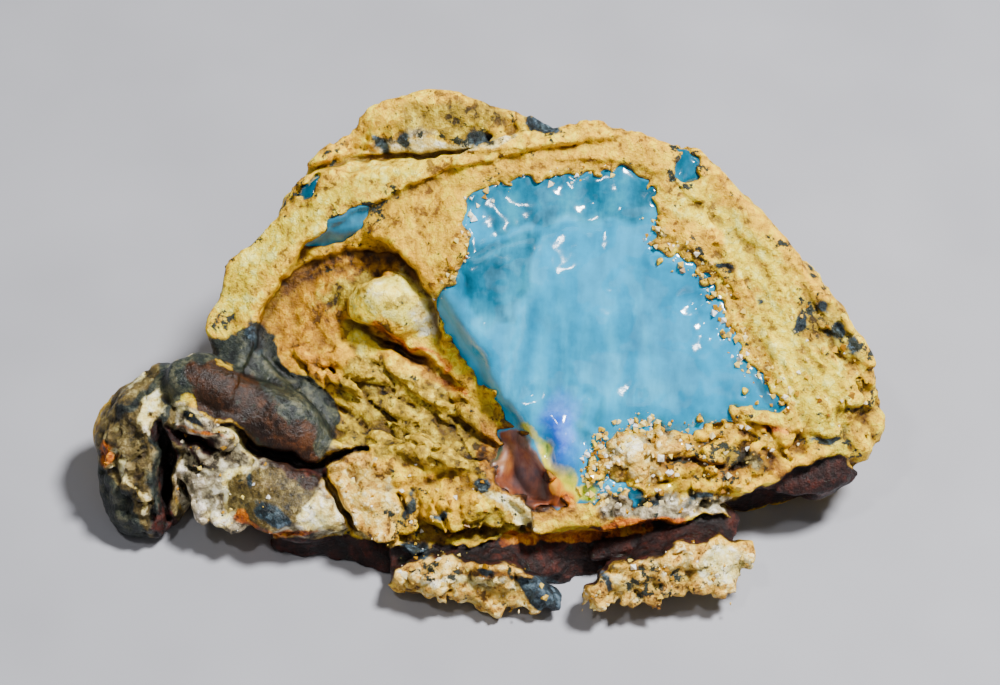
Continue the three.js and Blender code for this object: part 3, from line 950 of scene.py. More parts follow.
@dataclass
class Field:
    """A solid as its distance field on an even grid: below zero inside, in mm."""

    MARGIN = 6
    TAIL = 2.5

    voxel: float
    low: np.ndarray
    values: np.ndarray

    @classmethod
    def of_mesh(cls, mesh: bpy.types.Mesh, voxel: float, reach: float) -> "Field":
        """Measures the distance field of a closed mesh.

        Args:
            mesh: The mesh, in metres.
            voxel: Grid spacing in mm.
            reach: How far from the surface distances are kept, in mm.

        Returns:
            The field.
        """
        mesh.calc_loop_triangles()
        points = corner_points(mesh)
        corners = np.empty(len(mesh.loop_triangles) * 3, np.int32)
        mesh.loop_triangles.foreach_get("vertices", corners)
        grid = openvdb.FloatGrid.createLevelSetFromPolygons(
            points,
            triangles=corners.reshape(-1, 3).astype(np.uint32),
            transform=openvdb.createLinearTransform(voxel),
            halfWidth=reach / voxel,
        )
        low = np.floor(points.min(0) / voxel).astype(int) - cls.MARGIN
        high = np.ceil(points.max(0) / voxel).astype(int) + cls.MARGIN
        values = np.empty(tuple(high - low + 1), np.float32)
        grid.copyToArray(values, ijk=tuple(int(i) for i in low))
        return cls(voxel, low, values)

    def like(self, values: np.ndarray) -> "Field":
        """Returns a field on the same grid with other values."""
        return Field(self.voxel, self.low, values)

    def blurred(self, radius: float) -> "Field":
        """Rounds the solid off.

        Args:
            radius: How far the rounding reaches, in mm.

        Returns:
            The rounded field.
        """
        spread = radius / self.voxel
        reach = max(1, int(math.ceil(self.TAIL * spread)))
        steps = np.arange(-reach, reach + 1)
        weights = np.exp(-0.5 * (steps / spread) ** 2)
        weights /= weights.sum()
        values = self.values
        for axis in range(3):
            count = values.shape[axis]
            total = np.zeros_like(values)
            for step, weight in zip(steps, weights):
                index = np.clip(np.arange(count) + step, 0, count - 1)
                total += np.float32(weight) * np.take(values, index, axis=axis)
            values = total
        return self.like(values)

    def points(self, cells: np.ndarray) -> np.ndarray:
        """Returns the points, in mm, of grid cells given one a row."""
        return ((cells + self.low) * self.voxel).astype(np.float32)

    def read(self, points: np.ndarray) -> np.ndarray:
        """Reads the field between grid points.

        Args:
            points: Points in mm.

        Returns:
            The value at each point.
        """
        scaled = points / self.voxel - self.low
        top = np.array(self.values.shape) - 2
        cell = np.clip(np.floor(scaled).astype(int), 0, top)
        part = np.clip(scaled - cell, 0.0, 1.0)
        total = np.zeros(len(points))
        for corner in np.ndindex(2, 2, 2):
            near = cell + np.array(corner)
            weight = np.ones(len(points))
            for axis, far in enumerate(corner):
                weight *= part[:, axis] if far else 1.0 - part[:, axis]
            total += weight * self.values[near[:, 0], near[:, 1], near[:, 2]]
        return total

    def mesh(self, name: str) -> bpy.types.Mesh:
        """Skins the solid.

        Args:
            name: The mesh's name.

        Returns:
            A closed mesh in metres.
        """
        grid = openvdb.FloatGrid(float(self.values.max()))
        grid.copyFromArray(self.values, ijk=tuple(int(i) for i in self.low))
        grid.transform = openvdb.createLinearTransform(self.voxel)
        points, quads = grid.convertToQuads(0.0)
        mesh = bpy.data.meshes.new(name)
        mesh.vertices.add(len(points))
        mesh.vertices.foreach_set("co", (points * MM).astype(np.float32).ravel())
        mesh.loops.add(len(quads) * 4)
        mesh.loops.foreach_set("vertex_index", quads[:, ::-1].astype(np.int32).ravel())
        mesh.polygons.add(len(quads))
        mesh.polygons.foreach_set("loop_start", np.arange(0, len(quads) * 4, 4, dtype=np.int32))
        mesh.polygons.foreach_set("use_smooth", np.ones(len(quads), bool))
        mesh.update(calc_edges=True)
        mesh.validate()
        return mesh


# ---------------------------------------------------------------- the stone


# How far out of the broad face its own rind starts, in mm; the rest of the stone has a coarser grid.
BEHIND = -2.5
# Further than the stone reaches in any direction, in mm.
EVERYWHERE = 99.0
# How far out of the broad face its sides stop being part of it, on its lower and its upper part, and over
# how much of that way its markings fade in, in mm.
LOWER_EDGE = -3.8
UPPER_EDGE = -1.8
EDGE_FADE = 1.6


def in_front(places: np.ndarray, facing: np.ndarray) -> np.ndarray:
    """Tells the broad face from the stone's sides and back.

    Args:
        places: Places as across, up and out, in mm.
        facing: How squarely the ground there faces out, from -1 to 1.

    Returns:
        1 on the face, fading to 0 down its sides, which start lower on its lower part, and behind its rim.
    """
    edge = LOWER_EDGE + (UPPER_EDGE - LOWER_EDGE) * smooth_step(places[:, 1], -12.0, -8.0)
    behind_rim = smooth_step(places[:, 1], 4.0, 8.0) * (1.0 - smooth_step(facing, -0.1, 0.2))
    return smooth_step(places[:, 2] - edge, 0.0, EDGE_FADE) * (1.0 - behind_rim)


@dataclass(frozen=True)
class Flats:
    """One size of broken flats with creases between them, in mm."""

    CREASE_WIDTH = 0.10

    seed: int
    size: float
    height: float
    crease: float

    def relief(self, points: np.ndarray, where: np.ndarray, creased: np.ndarray | float) -> np.ndarray:
        """Works out the flats where a mask asks for them.

        Args:
            points: Where they are read, in mm.
            where: The mask, from 0 to 1.
            creased: How much of the creases shows, from 0 to 1.

        Returns:
            How far they stand out, in mm.
        """
        wanted = where > 0.01
        height = np.zeros(len(points), np.float32)
        crease = height.copy()
        level, above = Facets(self.seed).at(points[wanted], self.size)
        height[wanted] = level
        crease[wanted] = 1.0 - smooth_step(above, 0.0, self.CREASE_WIDTH)
        return self.height * (height * where) - self.crease * (crease * where) * creased


LARGE_LUMPS = Flats(seed=7, size=3.6, height=1.0, crease=0.35)
SMALL_LUMPS = Flats(seed=8, size=1.3, height=0.55, crease=0.25)
CRUMBS = Flats(seed=10, size=0.65, height=0.20, crease=0.08)
PLATES = Flats(seed=11, size=1.5, height=0.85, crease=0.35)
FLAKES = Flats(seed=12, size=0.7, height=0.25, crease=0.08)


class Stone:
    """The stone on an even grid: resin inside, a rind outside, and windows where the rind came away.

    Distances are in mm. The fields are worked out in a layer near the surface, and past it they hold FAR,
    or -FAR inside.
    """

    FAR = 3.0
    ROUNDED = 0.35
    MESH_REACH = 4.2
    LAYER = (-3.4, 1.9)
    CUT_LAYER = (-2.4, 1.5)
    RIND = 0.42
    THINNING = 0.22
    SUNK = 0.9
    RIND_OVERLAP = 0.5
    RIND_EDGE = 0.26
    BELOW_RESIN = 0.6
    FOOT = 0.02
    RESIN_FOOT = 0.27
    SHUT = 20.0

    def __init__(self, cad: bpy.types.Mesh, sheet: Sheet, voxel: float, lowest: float) -> None:
        """Measures the stone and works out its resin and its rind.

        Args:
            cad: The stone's frame solid, in metres.
            sheet: What is drawn on the broad face.
            voxel: Grid spacing in mm.
            lowest: How far out of the broad face the worked-out part starts, in mm.
        """
        self.sheet = sheet
        self.plain = Field.of_mesh(cad, voxel, self.MESH_REACH).blurred(self.ROUNDED)
        slopes = np.gradient(self.plain.values, voxel)
        self.facing = self.plain.like(sum(slope * along for slope, along in zip(slopes, FACE.axes()[2])))
        self.signs = self.side(self.plain.values, 0.0)
        cells = np.argwhere((self.plain.values > self.LAYER[0]) & (self.plain.values < self.LAYER[1]))
        places = FACE.from_stone(self.plain.points(cells))
        kept = places[:, 2] > lowest
        cells, places = cells[kept], places[kept]
        front = in_front(places, self.facing.values[tuple(cells.T)])
        under_rim = smooth_step(sheet.read(Zone.MAROON_SHADE.value, places), 0.5, 1.0)
        deeper = under_rim * smooth_step(places[:, 2], 2.4, 3.4)
        body = self.plain.values[tuple(cells.T)] + (sheet.read("cut", places) + deeper) * front
        self.signs[tuple(cells.T)] = self.side(body, -self.RIND)
        kept = (body > self.CUT_LAYER[0]) & (body < self.CUT_LAYER[1])
        self.cells = tuple(cells[kept].T)
        self.places = places[kept]
        self.front = front[kept]
        self.points = self.plain.points(cells[kept])
        self.noise = Noise(3)
        resin, skin = self.shape(body[kept])
        sunk = resin + self.SUNK * (1.0 - self.open)
        self.resin = self.filled(sunk)
        self.skin = self.filled(np.minimum(sunk, skin))
        self.rind_values = np.maximum(skin, -(resin + self.SUNK + self.RIND_OVERLAP))

    @classmethod
    def side(cls, values: np.ndarray, level: float) -> np.ndarray:
        """Returns -FAR where the values are below a level, which is inside, and +FAR elsewhere."""
        return np.where(values < level, np.float32(-cls.FAR), np.float32(cls.FAR))

    def filled(self, values: np.ndarray, hollow: bool = False) -> Field:
        """Spreads values worked out near the surface over the whole grid.

        Args:
            values: The values at the stone's points.
            hollow: Whether everything away from them is outside the solid.

        Returns:
            The field.
        """
        whole = np.full_like(self.signs, self.FAR) if hollow else self.signs.copy()
        whole[self.cells] = values
        return self.plain.like(whole)

    def drawn(self, layer: str) -> np.ndarray:
        """Returns a layer of the sheet at the stone's points, fading away round the edge of the face."""
        return self.sheet.read(layer, self.places) * self.front

    def windows(self) -> np.ndarray:
        """Returns how far inside a window each point lies, in mm; none reach round the edge of the face."""
        return self.sheet.read("window", self.places) - self.SHUT * (1.0 - self.front)

    def relief(self) -> np.ndarray:
        """Works out the rind's relief: broken lumps, thin plates, streaks and grain.

        Returns:
            How far the rind stands out beyond its usual thickness, in mm.
        """
        smooth = 1.0 - 0.9 * self.drawn(Zone.GLOSSY.value)
        coarse = np.maximum(self.drawn(Zone.COARSE.value), 0.45 * (1.0 - self.front)) * smooth
        crumbly = np.maximum(self.drawn(Zone.CRUMBLY.value), 0.5 * coarse) * smooth
        platy = self.drawn(Zone.PLATY.value) * smooth
        warped = self.points + 0.3 * self.noise.fractal(self.points, 1.6, 2)[:, None]
        bedding = self.drawn_out(-36.0, 3.2) + 0.3 * self.noise.at(self.points, 1.8)[:, None]
        total = np.zeros(len(self.points))
        for flats, points, where, creased in (
            (LARGE_LUMPS, warped, (0.15 + 0.75 * coarse) * smooth, coarse),
            (SMALL_LUMPS, warped, 0.1 + 0.9 * crumbly, crumbly),
            (CRUMBS, warped, crumbly, 1.0),
            (PLATES, bedding, platy, 1.0),
            (FLAKES, bedding, platy, 1.0),
        ):
            total += flats.relief(points, where, creased)
        fibres = self.drawn_out(-62.0, 5.0)
        total += 0.36 * self.drawn(Zone.STREAKY.value) * self.noise.fractal(fibres, 0.9, 2)
        total += 0.09 * (0.9 * smooth + coarse + platy) * self.noise.fractal(self.points, 0.8, 2)
        return total

    def drawn_out(self, angle: float, stretch: float) -> np.ndarray:
        """Returns the places shrunk along a direction, so that what is read there is drawn out along it."""
        along, athwart = turned(self.places, angle)
        return np.stack([along / stretch, athwart, self.places[:, 2]], axis=1)

    def shape(self, body: np.ndarray) -> tuple[np.ndarray, np.ndarray]:
        """Works out the resin and the outside of the rind near the surface.

        Args:
            body: The stone's own distance field at its points, in mm.

        Returns:
            The resin's distance field and the rind's outer one.
        """
        points = self.points
        body = body + 0.2 * self.noise.fractal(points, 5.0, 2)
        windows = self.windows()
        self.open = smooth_step(windows, -1.2, -0.1)
        chips = 0.16 * Facets(9).at(points + 0.5 * self.noise.at(points, 1.9)[:, None], 3.6)[0]
        chips *= 0.5 + 1.8 * self.drawn(Zone.RUSSET.value)
        chips += 0.03 * self.noise.at(points, 1.0)
        resin = body + self.RIND + chips * smooth_step(windows, -0.5, 0.6)
        thickness = self.RIND - self.THINNING * smooth_step(windows, -1.4, 0.0) + self.relief()
        thickness = np.maximum(thickness, 0.08 - 0.7 * (1.0 - self.open))
        covering = smooth_step(-windows, 0.0, self.RIND_EDGE)
        skin = resin + self.BELOW_RESIN - (thickness + self.BELOW_RESIN) * covering
        height = points[:, 2]
        return np.maximum(resin, self.RESIN_FOOT - height), np.maximum(skin, self.FOOT - height)


# ---------------------------------------------------------------- finishes


def linear(code: str) -> tuple[float, float, float, float]:
    """Turns an sRGB hex colour into linear light.

    Args:
        code: The colour as six hex digits.

    Returns:
        Linear red, green and blue, and 1 for alpha.
    """
    values = [int(code.lstrip("#")[start : start + 2], 16) / 255.0 for start in (0, 2, 4)]
    light = [v / 12.92 if v <= 0.04045 else ((v + 0.055) / 1.055) ** 2.4 for v in values]
    return (light[0], light[1], light[2], 1.0)


def per_metre(size: float) -> float:
    """Returns the noise scale whose swells are a size in mm."""
    return 1.0 / (size * MM)


Socket = bpy.types.NodeSocket
RISE = "rise"
SHADE = "shade"


class Tree:
    """A material's nodes, built one at a time."""

    def __init__(self, name: str) -> None:
        """Makes an empty material.

        Args:
            name: The material's name.
        """
        self.material = bpy.data.materials.new(name)
        self.material.use_nodes = True
        self.nodes = self.material.node_tree.nodes
        self.links = self.material.node_tree.links
        self.nodes.clear()

    def add(
        self,
        kind: str,
        inputs: dict[int | str, object] | None = None,
        out: int | str = 0,
        stops: Stops = (),
        **settings: object,
    ) -> Socket | None:
        """Adds one node with its settings and links.

        Args:
            kind: The node's type, without its ShaderNode start.
            inputs: What each input gets, by name or number: a value, or another node's output.
            out: Which output is wanted, by name or number.
            stops: For a colour ramp, each stop's place and its sRGB hex colour.
            settings: The node's own settings.

        Returns:
            The output wanted, or none if the node has no outputs.
        """
        node = self.nodes.new("ShaderNode" + kind)
        for name, value in settings.items():
            setattr(node, name, value)
        for key, value in (inputs or {}).items():
            if isinstance(value, Socket):
                self.links.new(value, node.inputs[key])
            else:
                node.inputs[key].default_value = value
        for index, (place, code) in enumerate(stops):
            element = node.color_ramp.elements[0] if index == 0 else node.color_ramp.elements.new(place)
            element.position = place
            element.color = linear(code)
        if stops:
            node.color_ramp.elements.remove(node.color_ramp.elements[-1])
        return node.outputs[out] if len(node.outputs) else None


@dataclass(frozen=True)
class Tone:
    """One zone's colours, from its darkest grains to its lightest."""

    zone: Zone
    stops: Stops


def toned(tree: Tree, colour: Socket, tones: Sequence[Tone], grain: Socket, loose: Socket) -> Socket:
    """Lays each zone's colours over the usual ones, with broken borders.

    Args:
        tree: The material's nodes.
        colour: The usual colour.
        tones: The zones' colours, the ones on top last.
        grain: What picks a colour along each ramp.
        loose: A value round 0 that makes the borders wander.

    Returns:
        The colour.
    """
    for tone in tones:
        mask = tree.add("Attribute", out="Fac", attribute_name=tone.zone.value)
        mask = tree.add("Math", {0: mask, 1: loose}, operation="ADD")
        mask = tree.add("MapRange", {0: mask, 1: 0.3, 2: 0.7})
        own = tree.add("ValToRGB", {"Fac": grain}, stops=tone.stops)
        colour = tree.add("Mix", {0: mask, 6: colour, 7: own}, out=2, data_type="RGBA")
    return colour


@dataclass(frozen=True)
class RindFinish:
    """Weathered amber rind: resin that dried, crazed and took up clay in the ground.

    It gives the eye a crumbly golden skin with a waxy sheen, paler on its ridges and brown in its pits,
    where the brown is painted shade, with blue-grey specks where the dark resin shows through.
    """

    name: str = "weathered_rind"
    usual: Stops = ((0.05, "#6E4E06"), (0.28, "#C49408"), (0.58, "#ECC008"), (0.92, "#FFE830"))
    tones: tuple[Tone, ...] = (
        Tone(Zone.SILVER, ((0.05, "#2E2618"), (0.28, "#6E644A"), (0.60, "#AEA37C"), (0.92, "#ECE6CE"))),
        Tone(Zone.CREAM, ((0.05, "#5C3E0C"), (0.26, "#C08E2C"), (0.58, "#EAC450"), (0.92, "#FFF0A8"))),
        Tone(Zone.PALE, ((0.05, "#8E6E08"), (0.26, "#DEB80C"), (0.56, "#F8DC18"), (0.92, "#FFF878"))),
        Tone(Zone.GOLDEN, ((0.05, "#7E5200"), (0.26, "#CE9A00"), (0.58, "#F2BC00"), (0.92, "#FFD800"))),
        Tone(Zone.HONEY, ((0.05, "#5E3A00"), (0.26, "#A66E00"), (0.58, "#D09400"), (0.92, "#F4C010"))),
        Tone(Zone.OLIVE, ((0.05, "#3A2A04"), (0.26, "#866C0C"), (0.58, "#B89818"), (0.92, "#F0DA48"))),
        # Painted shade: deeper brown where shade falls in the arch, cracks and walls.
        Tone(Zone.BROWN, ((0.05, "#341E04"), (0.30, "#744806"), (0.60, "#A8740C"), (0.92, "#D8A020"))),
        Tone(Zone.DUSKY, ((0.05, "#221C0A"), (0.32, "#4C3F18"), (0.62, "#6A5A2C"), (0.92, "#A0925A"))),
        Tone(Zone.GREENISH, ((0.05, "#0A0F0E"), (0.36, "#1A221E"), (0.64, "#2C3228"), (0.92, "#50523E"))),
        Tone(Zone.RUSSET, ((0.05, "#140702"), (0.36, "#201005"), (0.64, "#321A08"), (0.92, "#4A2A12"))),
        # Painted shade: near-black, deepening the dark red-brown resin under the overhangs and in the
        # cluster's gaps.
        Tone(Zone.MAROON_SHADE, ((0.05, "#0C0201"), (0.36, "#1C0603"), (0.64, "#2C0D05"), (0.92, "#44180C"))),
        # Painted glow along thin edges, over their own orange-brown.
        Tone(Zone.ORANGE_GLOW, ((0.05, "#4A1E02"), (0.34, "#984802"), (0.62, "#CC7004"), (0.92, "#F0A818"))),
        Tone(Zone.LEMON, ((0.05, "#A89020"), (0.26, "#E6D040"), (0.60, "#FCEE68"), (0.92, "#FFFAA8"))),
        # Cream to off-white, with painted highlights on a few small spots.
        Tone(Zone.IVORY_HIGHLIGHT, ((0.05, "#9C8036"), (0.26, "#DCC468"), (0.60, "#F8EC9C"), (0.92, "#FFFDDC"))),
        Tone(Zone.SLATE, ((0.05, "#080D0E"), (0.36, "#162023"), (0.64, "#26363C"), (0.92, "#50646C"))),
    )
    # How much lighter the ridges are made, in red, green and blue.
    ridge_gain: tuple[float, float, float, float] = (1.5, 1.4, 1.6, 1.0)

    def build(self) -> bpy.types.Material:
        """Returns the rind's material."""
        tree = Tree(self.name)
        place = tree.add("TexCoord", out="Object")
        broad = tree.add("TexNoise", {
            "Vector": place, "Scale": per_metre(3.5), "Detail": 4.0, "Roughness": 0.6,
        })
        fine = tree.add("TexNoise", {
            "Vector": place, "Scale": per_metre(0.8), "Detail": 6.0, "Roughness": 0.66,
        })
        wobble = tree.add("TexNoise", {
            "Vector": place, "Scale": per_metre(0.6), "Detail": 3.0,
        }, out="Color")
        shifted = tree.add("VectorMath", {
            0: wobble, 1: (0.7 * MM, 0.7 * MM, 0.7 * MM), 2: place,
        }, operation="MULTIPLY_ADD")
        crumbs = tree.add("TexVoronoi", {"Vector": shifted, "Scale": per_metre(0.55)}, out="Color")
        bedded = tree.add("Mapping", {
            "Vector": place, "Scale": (4.0, 1.0, 1.0),
            "Rotation": (0.0, math.radians(34.6), math.radians(-55.3)),
        }, vector_type="TEXTURE")
        streaks = tree.add("TexNoise", {
            "Vector": bedded, "Scale": per_metre(0.9), "Detail": 5.0, "Roughness": 0.65,
        })
        mixed = tree.add("Mix", {0: 0.35, 2: fine, 3: streaks})
        mixed = tree.add("Mix", {0: 0.16, 2: mixed, 3: crumbs})
        grain = tree.add("Mix", {0: 0.25, 2: mixed, 3: broad})
        grain = tree.add("MapRange", {0: grain, 1: 0.40, 2: 0.60})
        loose = tree.add("MapRange", {0: fine, 1: 0.3, 2: 0.7, 3: -0.28, 4: 0.28})
        usual = tree.add("ValToRGB", {"Fac": grain}, stops=self.usual)
        colour = toned(tree, usual, self.tones, grain, loose)
        clay = tree.add("TexNoise", {
            "Vector": shifted, "Scale": per_metre(1.7), "Detail": 5.0, "Roughness": 0.7,
        })
        clay = tree.add("MapRange", {0: clay, 1: 0.53, 2: 0.64, 4: 0.5})
        crazing = tree.add("TexVoronoi", {
            "Vector": shifted, "Scale": per_metre(1.5),
        }, feature="DISTANCE_TO_EDGE")
        crazing = tree.add("MapRange", {0: crazing, 1: 0.0, 2: 0.05, 3: 0.55, 4: 0.0})
        crazing = tree.add("Math", {0: crazing, 1: grain}, operation="MULTIPLY")
        rise = tree.add("Attribute", out="Fac", attribute_name=RISE)
        # Painted shade: the rind is darkened brown in its hollows and creases, where the rise falls below
        # the rounded surface.
        painted_crevice_shade = tree.add("MapRange", {0: rise, 1: -0.04, 2: -0.34, 4: 0.85})
        # Lighter on the ridges, where the rise stands above the rounded surface.
        paler_ridges = tree.add("MapRange", {0: rise, 1: 0.06, 2: 0.24, 4: 0.6})
        for where, tint in (
            (clay, linear("#ECD8B8")),
            (crazing, linear("#7A4A18")),
            (painted_crevice_shade, linear("#5A3A10")),
            (paler_ridges, self.ridge_gain),
        ):
            colour = tree.add("Mix", {
                0: where, 6: colour, 7: tint,
            }, out=2, data_type="RGBA", blend_type="MULTIPLY")
        spots = tree.add("TexNoise", {
            "Vector": place, "Scale": per_metre(1.1), "Detail": 5.0, "Roughness": 0.72,
        })
        crowd = tree.add("Attribute", out="Fac", attribute_name=Zone.DARK.value)
        crowd = tree.add("Math", {0: crowd, 1: 0.12, 2: spots}, operation="MULTIPLY_ADD")
        speck = tree.add("MapRange", {0: crowd, 1: 0.615, 2: 0.66})
        colour = tree.add("Mix", {0: speck, 6: colour, 7: linear("#242A20")}, out=2, data_type="RGBA")
        gloss = tree.add("Attribute", out="Fac", attribute_name=Zone.GLOSSY.value)
        dull = tree.add("MapRange", {0: spots, 1: 0.35, 2: 0.65, 3: 0.75, 4: 0.28})
        rough = tree.add("Mix", {0: gloss, 2: dull, 3: 0.3})
        height = tree.add("Mix", {0: 0.3, 2: fine, 3: crumbs})
        height = tree.add("Mix", {0: gloss, 2: height, 3: 0.5})
        bump = tree.add("Bump", {"Height": height, "Strength": 1.0, "Distance": 0.6 * MM})
        grit = tree.add("TexNoise", {
            "Vector": place, "Scale": per_metre(0.33), "Detail": 4.0, "Roughness": 0.7,
        })
        bump = tree.add("Bump", {"Height": grit, "Strength": 0.8, "Distance": 0.2 * MM, "Normal": bump})
        shader = tree.add("BsdfPrincipled", {
            "Base Color": colour, "Roughness": rough, "IOR": 1.5, "Normal": bump,
            "Specular IOR Level": 0.35,
        })
        tree.add("OutputMaterial", {"Surface": shader})
        return tree.material


@dataclass(frozen=True)
class ResinFinish:
    """Blue amber, freshly broken: fossil resin with a conchoidal, glassy break.

    Light that strikes it comes back sky blue, and light that has passed through it is honey to dark brown.
    Its sky-blue parts also give off a painted blue glow.
    """

    name: str = "clear_resin"
    usual: Stops = ((0.34, "#0E1412"), (0.48, "#1E2C28"), (0.60, "#34443A"), (0.72, "#4A5A44"))
    tones: tuple[Tone, ...] = (
        Tone(Zone.SKY, ((0.10, "#0078A0"), (0.38, "#0086B0"), (0.62, "#0093C0"), (0.92, "#04A0D0"))),
        Tone(Zone.TEAL, ((0.10, "#024458"), (0.38, "#045C78"), (0.62, "#067292"), (0.92, "#1C8CA8"))),
        Tone(Zone.STRAW, ((0.10, "#4A6A04"), (0.38, "#98A804"), (0.62, "#E4D004"), (0.92, "#FFF040"))),
        Tone(Zone.RUSSET, ((0.10, "#2A0D02"), (0.38, "#562104"), (0.62, "#823A04"), (0.92, "#A8641C"))),
        # Painted glow along thin edges, over their own orange-brown.
        Tone(Zone.ORANGE_GLOW, ((0.10, "#5A1E04"), (0.38, "#B4500A"), (0.62, "#E88A0C"), (0.92, "#FFC030"))),
    )

    def build(self) -> bpy.types.Material:
        """Returns the resin's material."""
        tree = Tree(self.name)
        place = tree.add("TexCoord", out="Object")
        drawn_out = tree.add("Mapping", {"Vector": place, "Scale": (1.0, 0.3, 0.3)})
        flow = tree.add("TexNoise", {
            "Vector": drawn_out, "Scale": per_metre(2.2), "Detail": 5.0, "Roughness": 0.6,
        })
        cloud = tree.add("TexNoise", {
            "Vector": place, "Scale": per_metre(2.4), "Detail": 5.0, "Roughness": 0.62,
        })
        grain = tree.add("Mix", {0: 0.5, 2: flow, 3: cloud})
        grain = tree.add("MapRange", {0: grain, 1: 0.34, 2: 0.66})
        loose = tree.add("MapRange", {0: cloud, 1: 0.3, 2: 0.7, 3: -0.2, 4: 0.2})
        usual = tree.add("ValToRGB", {"Fac": grain}, stops=self.usual)
        colour = toned(tree, usual, self.tones, grain, loose)
        violet = tree.add("Attribute", out="Fac", attribute_name=Zone.VIOLET.value)
        lilac = tree.add("ValToRGB", {"Fac": cloud}, stops=((0.40, "#1C4CC0"), (0.60, "#5C8CEC")))
        colour = tree.add("Mix", {0: violet, 6: colour, 7: lilac}, out=2, data_type="RGBA")
        veil = tree.add("Attribute", out="Fac", attribute_name=Zone.MILKY.value)
        wisps = tree.add("MapRange", {0: flow, 1: 0.35, 2: 0.65, 3: 0.05, 4: 0.8})
        veil = tree.add("Math", {0: veil, 1: wisps}, operation="MULTIPLY")
        colour = tree.add("Mix", {0: veil, 6: colour, 7: linear("#3CC2EC")}, out=2, data_type="RGBA")
        sky = tree.add("Attribute", out="Fac", attribute_name=Zone.SKY.value)
        clear = tree.add("MapRange", {0: sky, 3: 0.35, 4: 0.12})
        satin = tree.add("Attribute", out="Fac", attribute_name=Zone.SATIN.value)
        rough = tree.add("MapRange", {0: satin, 3: 0.13, 4: 0.6})
        # Painted glow: the sky-blue zones give off blue light, standing for the blue fluorescence of blue
        # amber and making the window brighter than its colour alone.
        glow = tree.add("Mix", {0: sky, 6: linear("#000000"), 7: colour}, out=2, data_type="RGBA")
        ripple = tree.add("TexNoise", {"Vector": place, "Scale": per_metre(1.7), "Detail": 1.0})
        bump = tree.add("Bump", {"Height": ripple, "Strength": 0.4, "Distance": 0.4 * MM})
        shader = tree.add("BsdfPrincipled", {
            "Base Color": colour, "Roughness": rough, "IOR": 1.54, "Normal": bump,
            "Transmission Weight": clear, "Emission Color": glow, "Emission Strength": 0.22,
        })
        depth = tree.add("VolumeAbsorption", {"Color": linear("#B0601C"), "Density": 420.0})
        tree.add("OutputMaterial", {"Surface": shader, "Volume": depth})
        return tree.material


# ---------------------------------------------------------------- loose grains


@dataclass(frozen=True)
class GritFinish:
    """Freshly broken amber grit: crumbs of resin with clean, glassy breaks.

    It gives the eye bright glints, white and cream to honey, along the broken edges.
    """

    name: str = "amber_grit"
    stops: Stops = ((0.0, "#8A5408"), (0.35, "#D8A41C"), (0.75, "#FAE074"), (1.0, "#FFFFF0"))

    def build(self) -> bpy.types.Material:
        """Returns the grit's material."""
        tree = Tree(self.name)
        shade = tree.add("Attribute", out="Fac", attribute_name=SHADE)
        colour = tree.add("ValToRGB", {"Fac": shade}, stops=self.stops)
        shader = tree.add("BsdfPrincipled", {
            "Base Color": colour, "Roughness": 0.14, "IOR": 1.54, "Transmission Weight": 0.15,
        })
        tree.add("OutputMaterial", {"Surface": shader})
        return tree.material


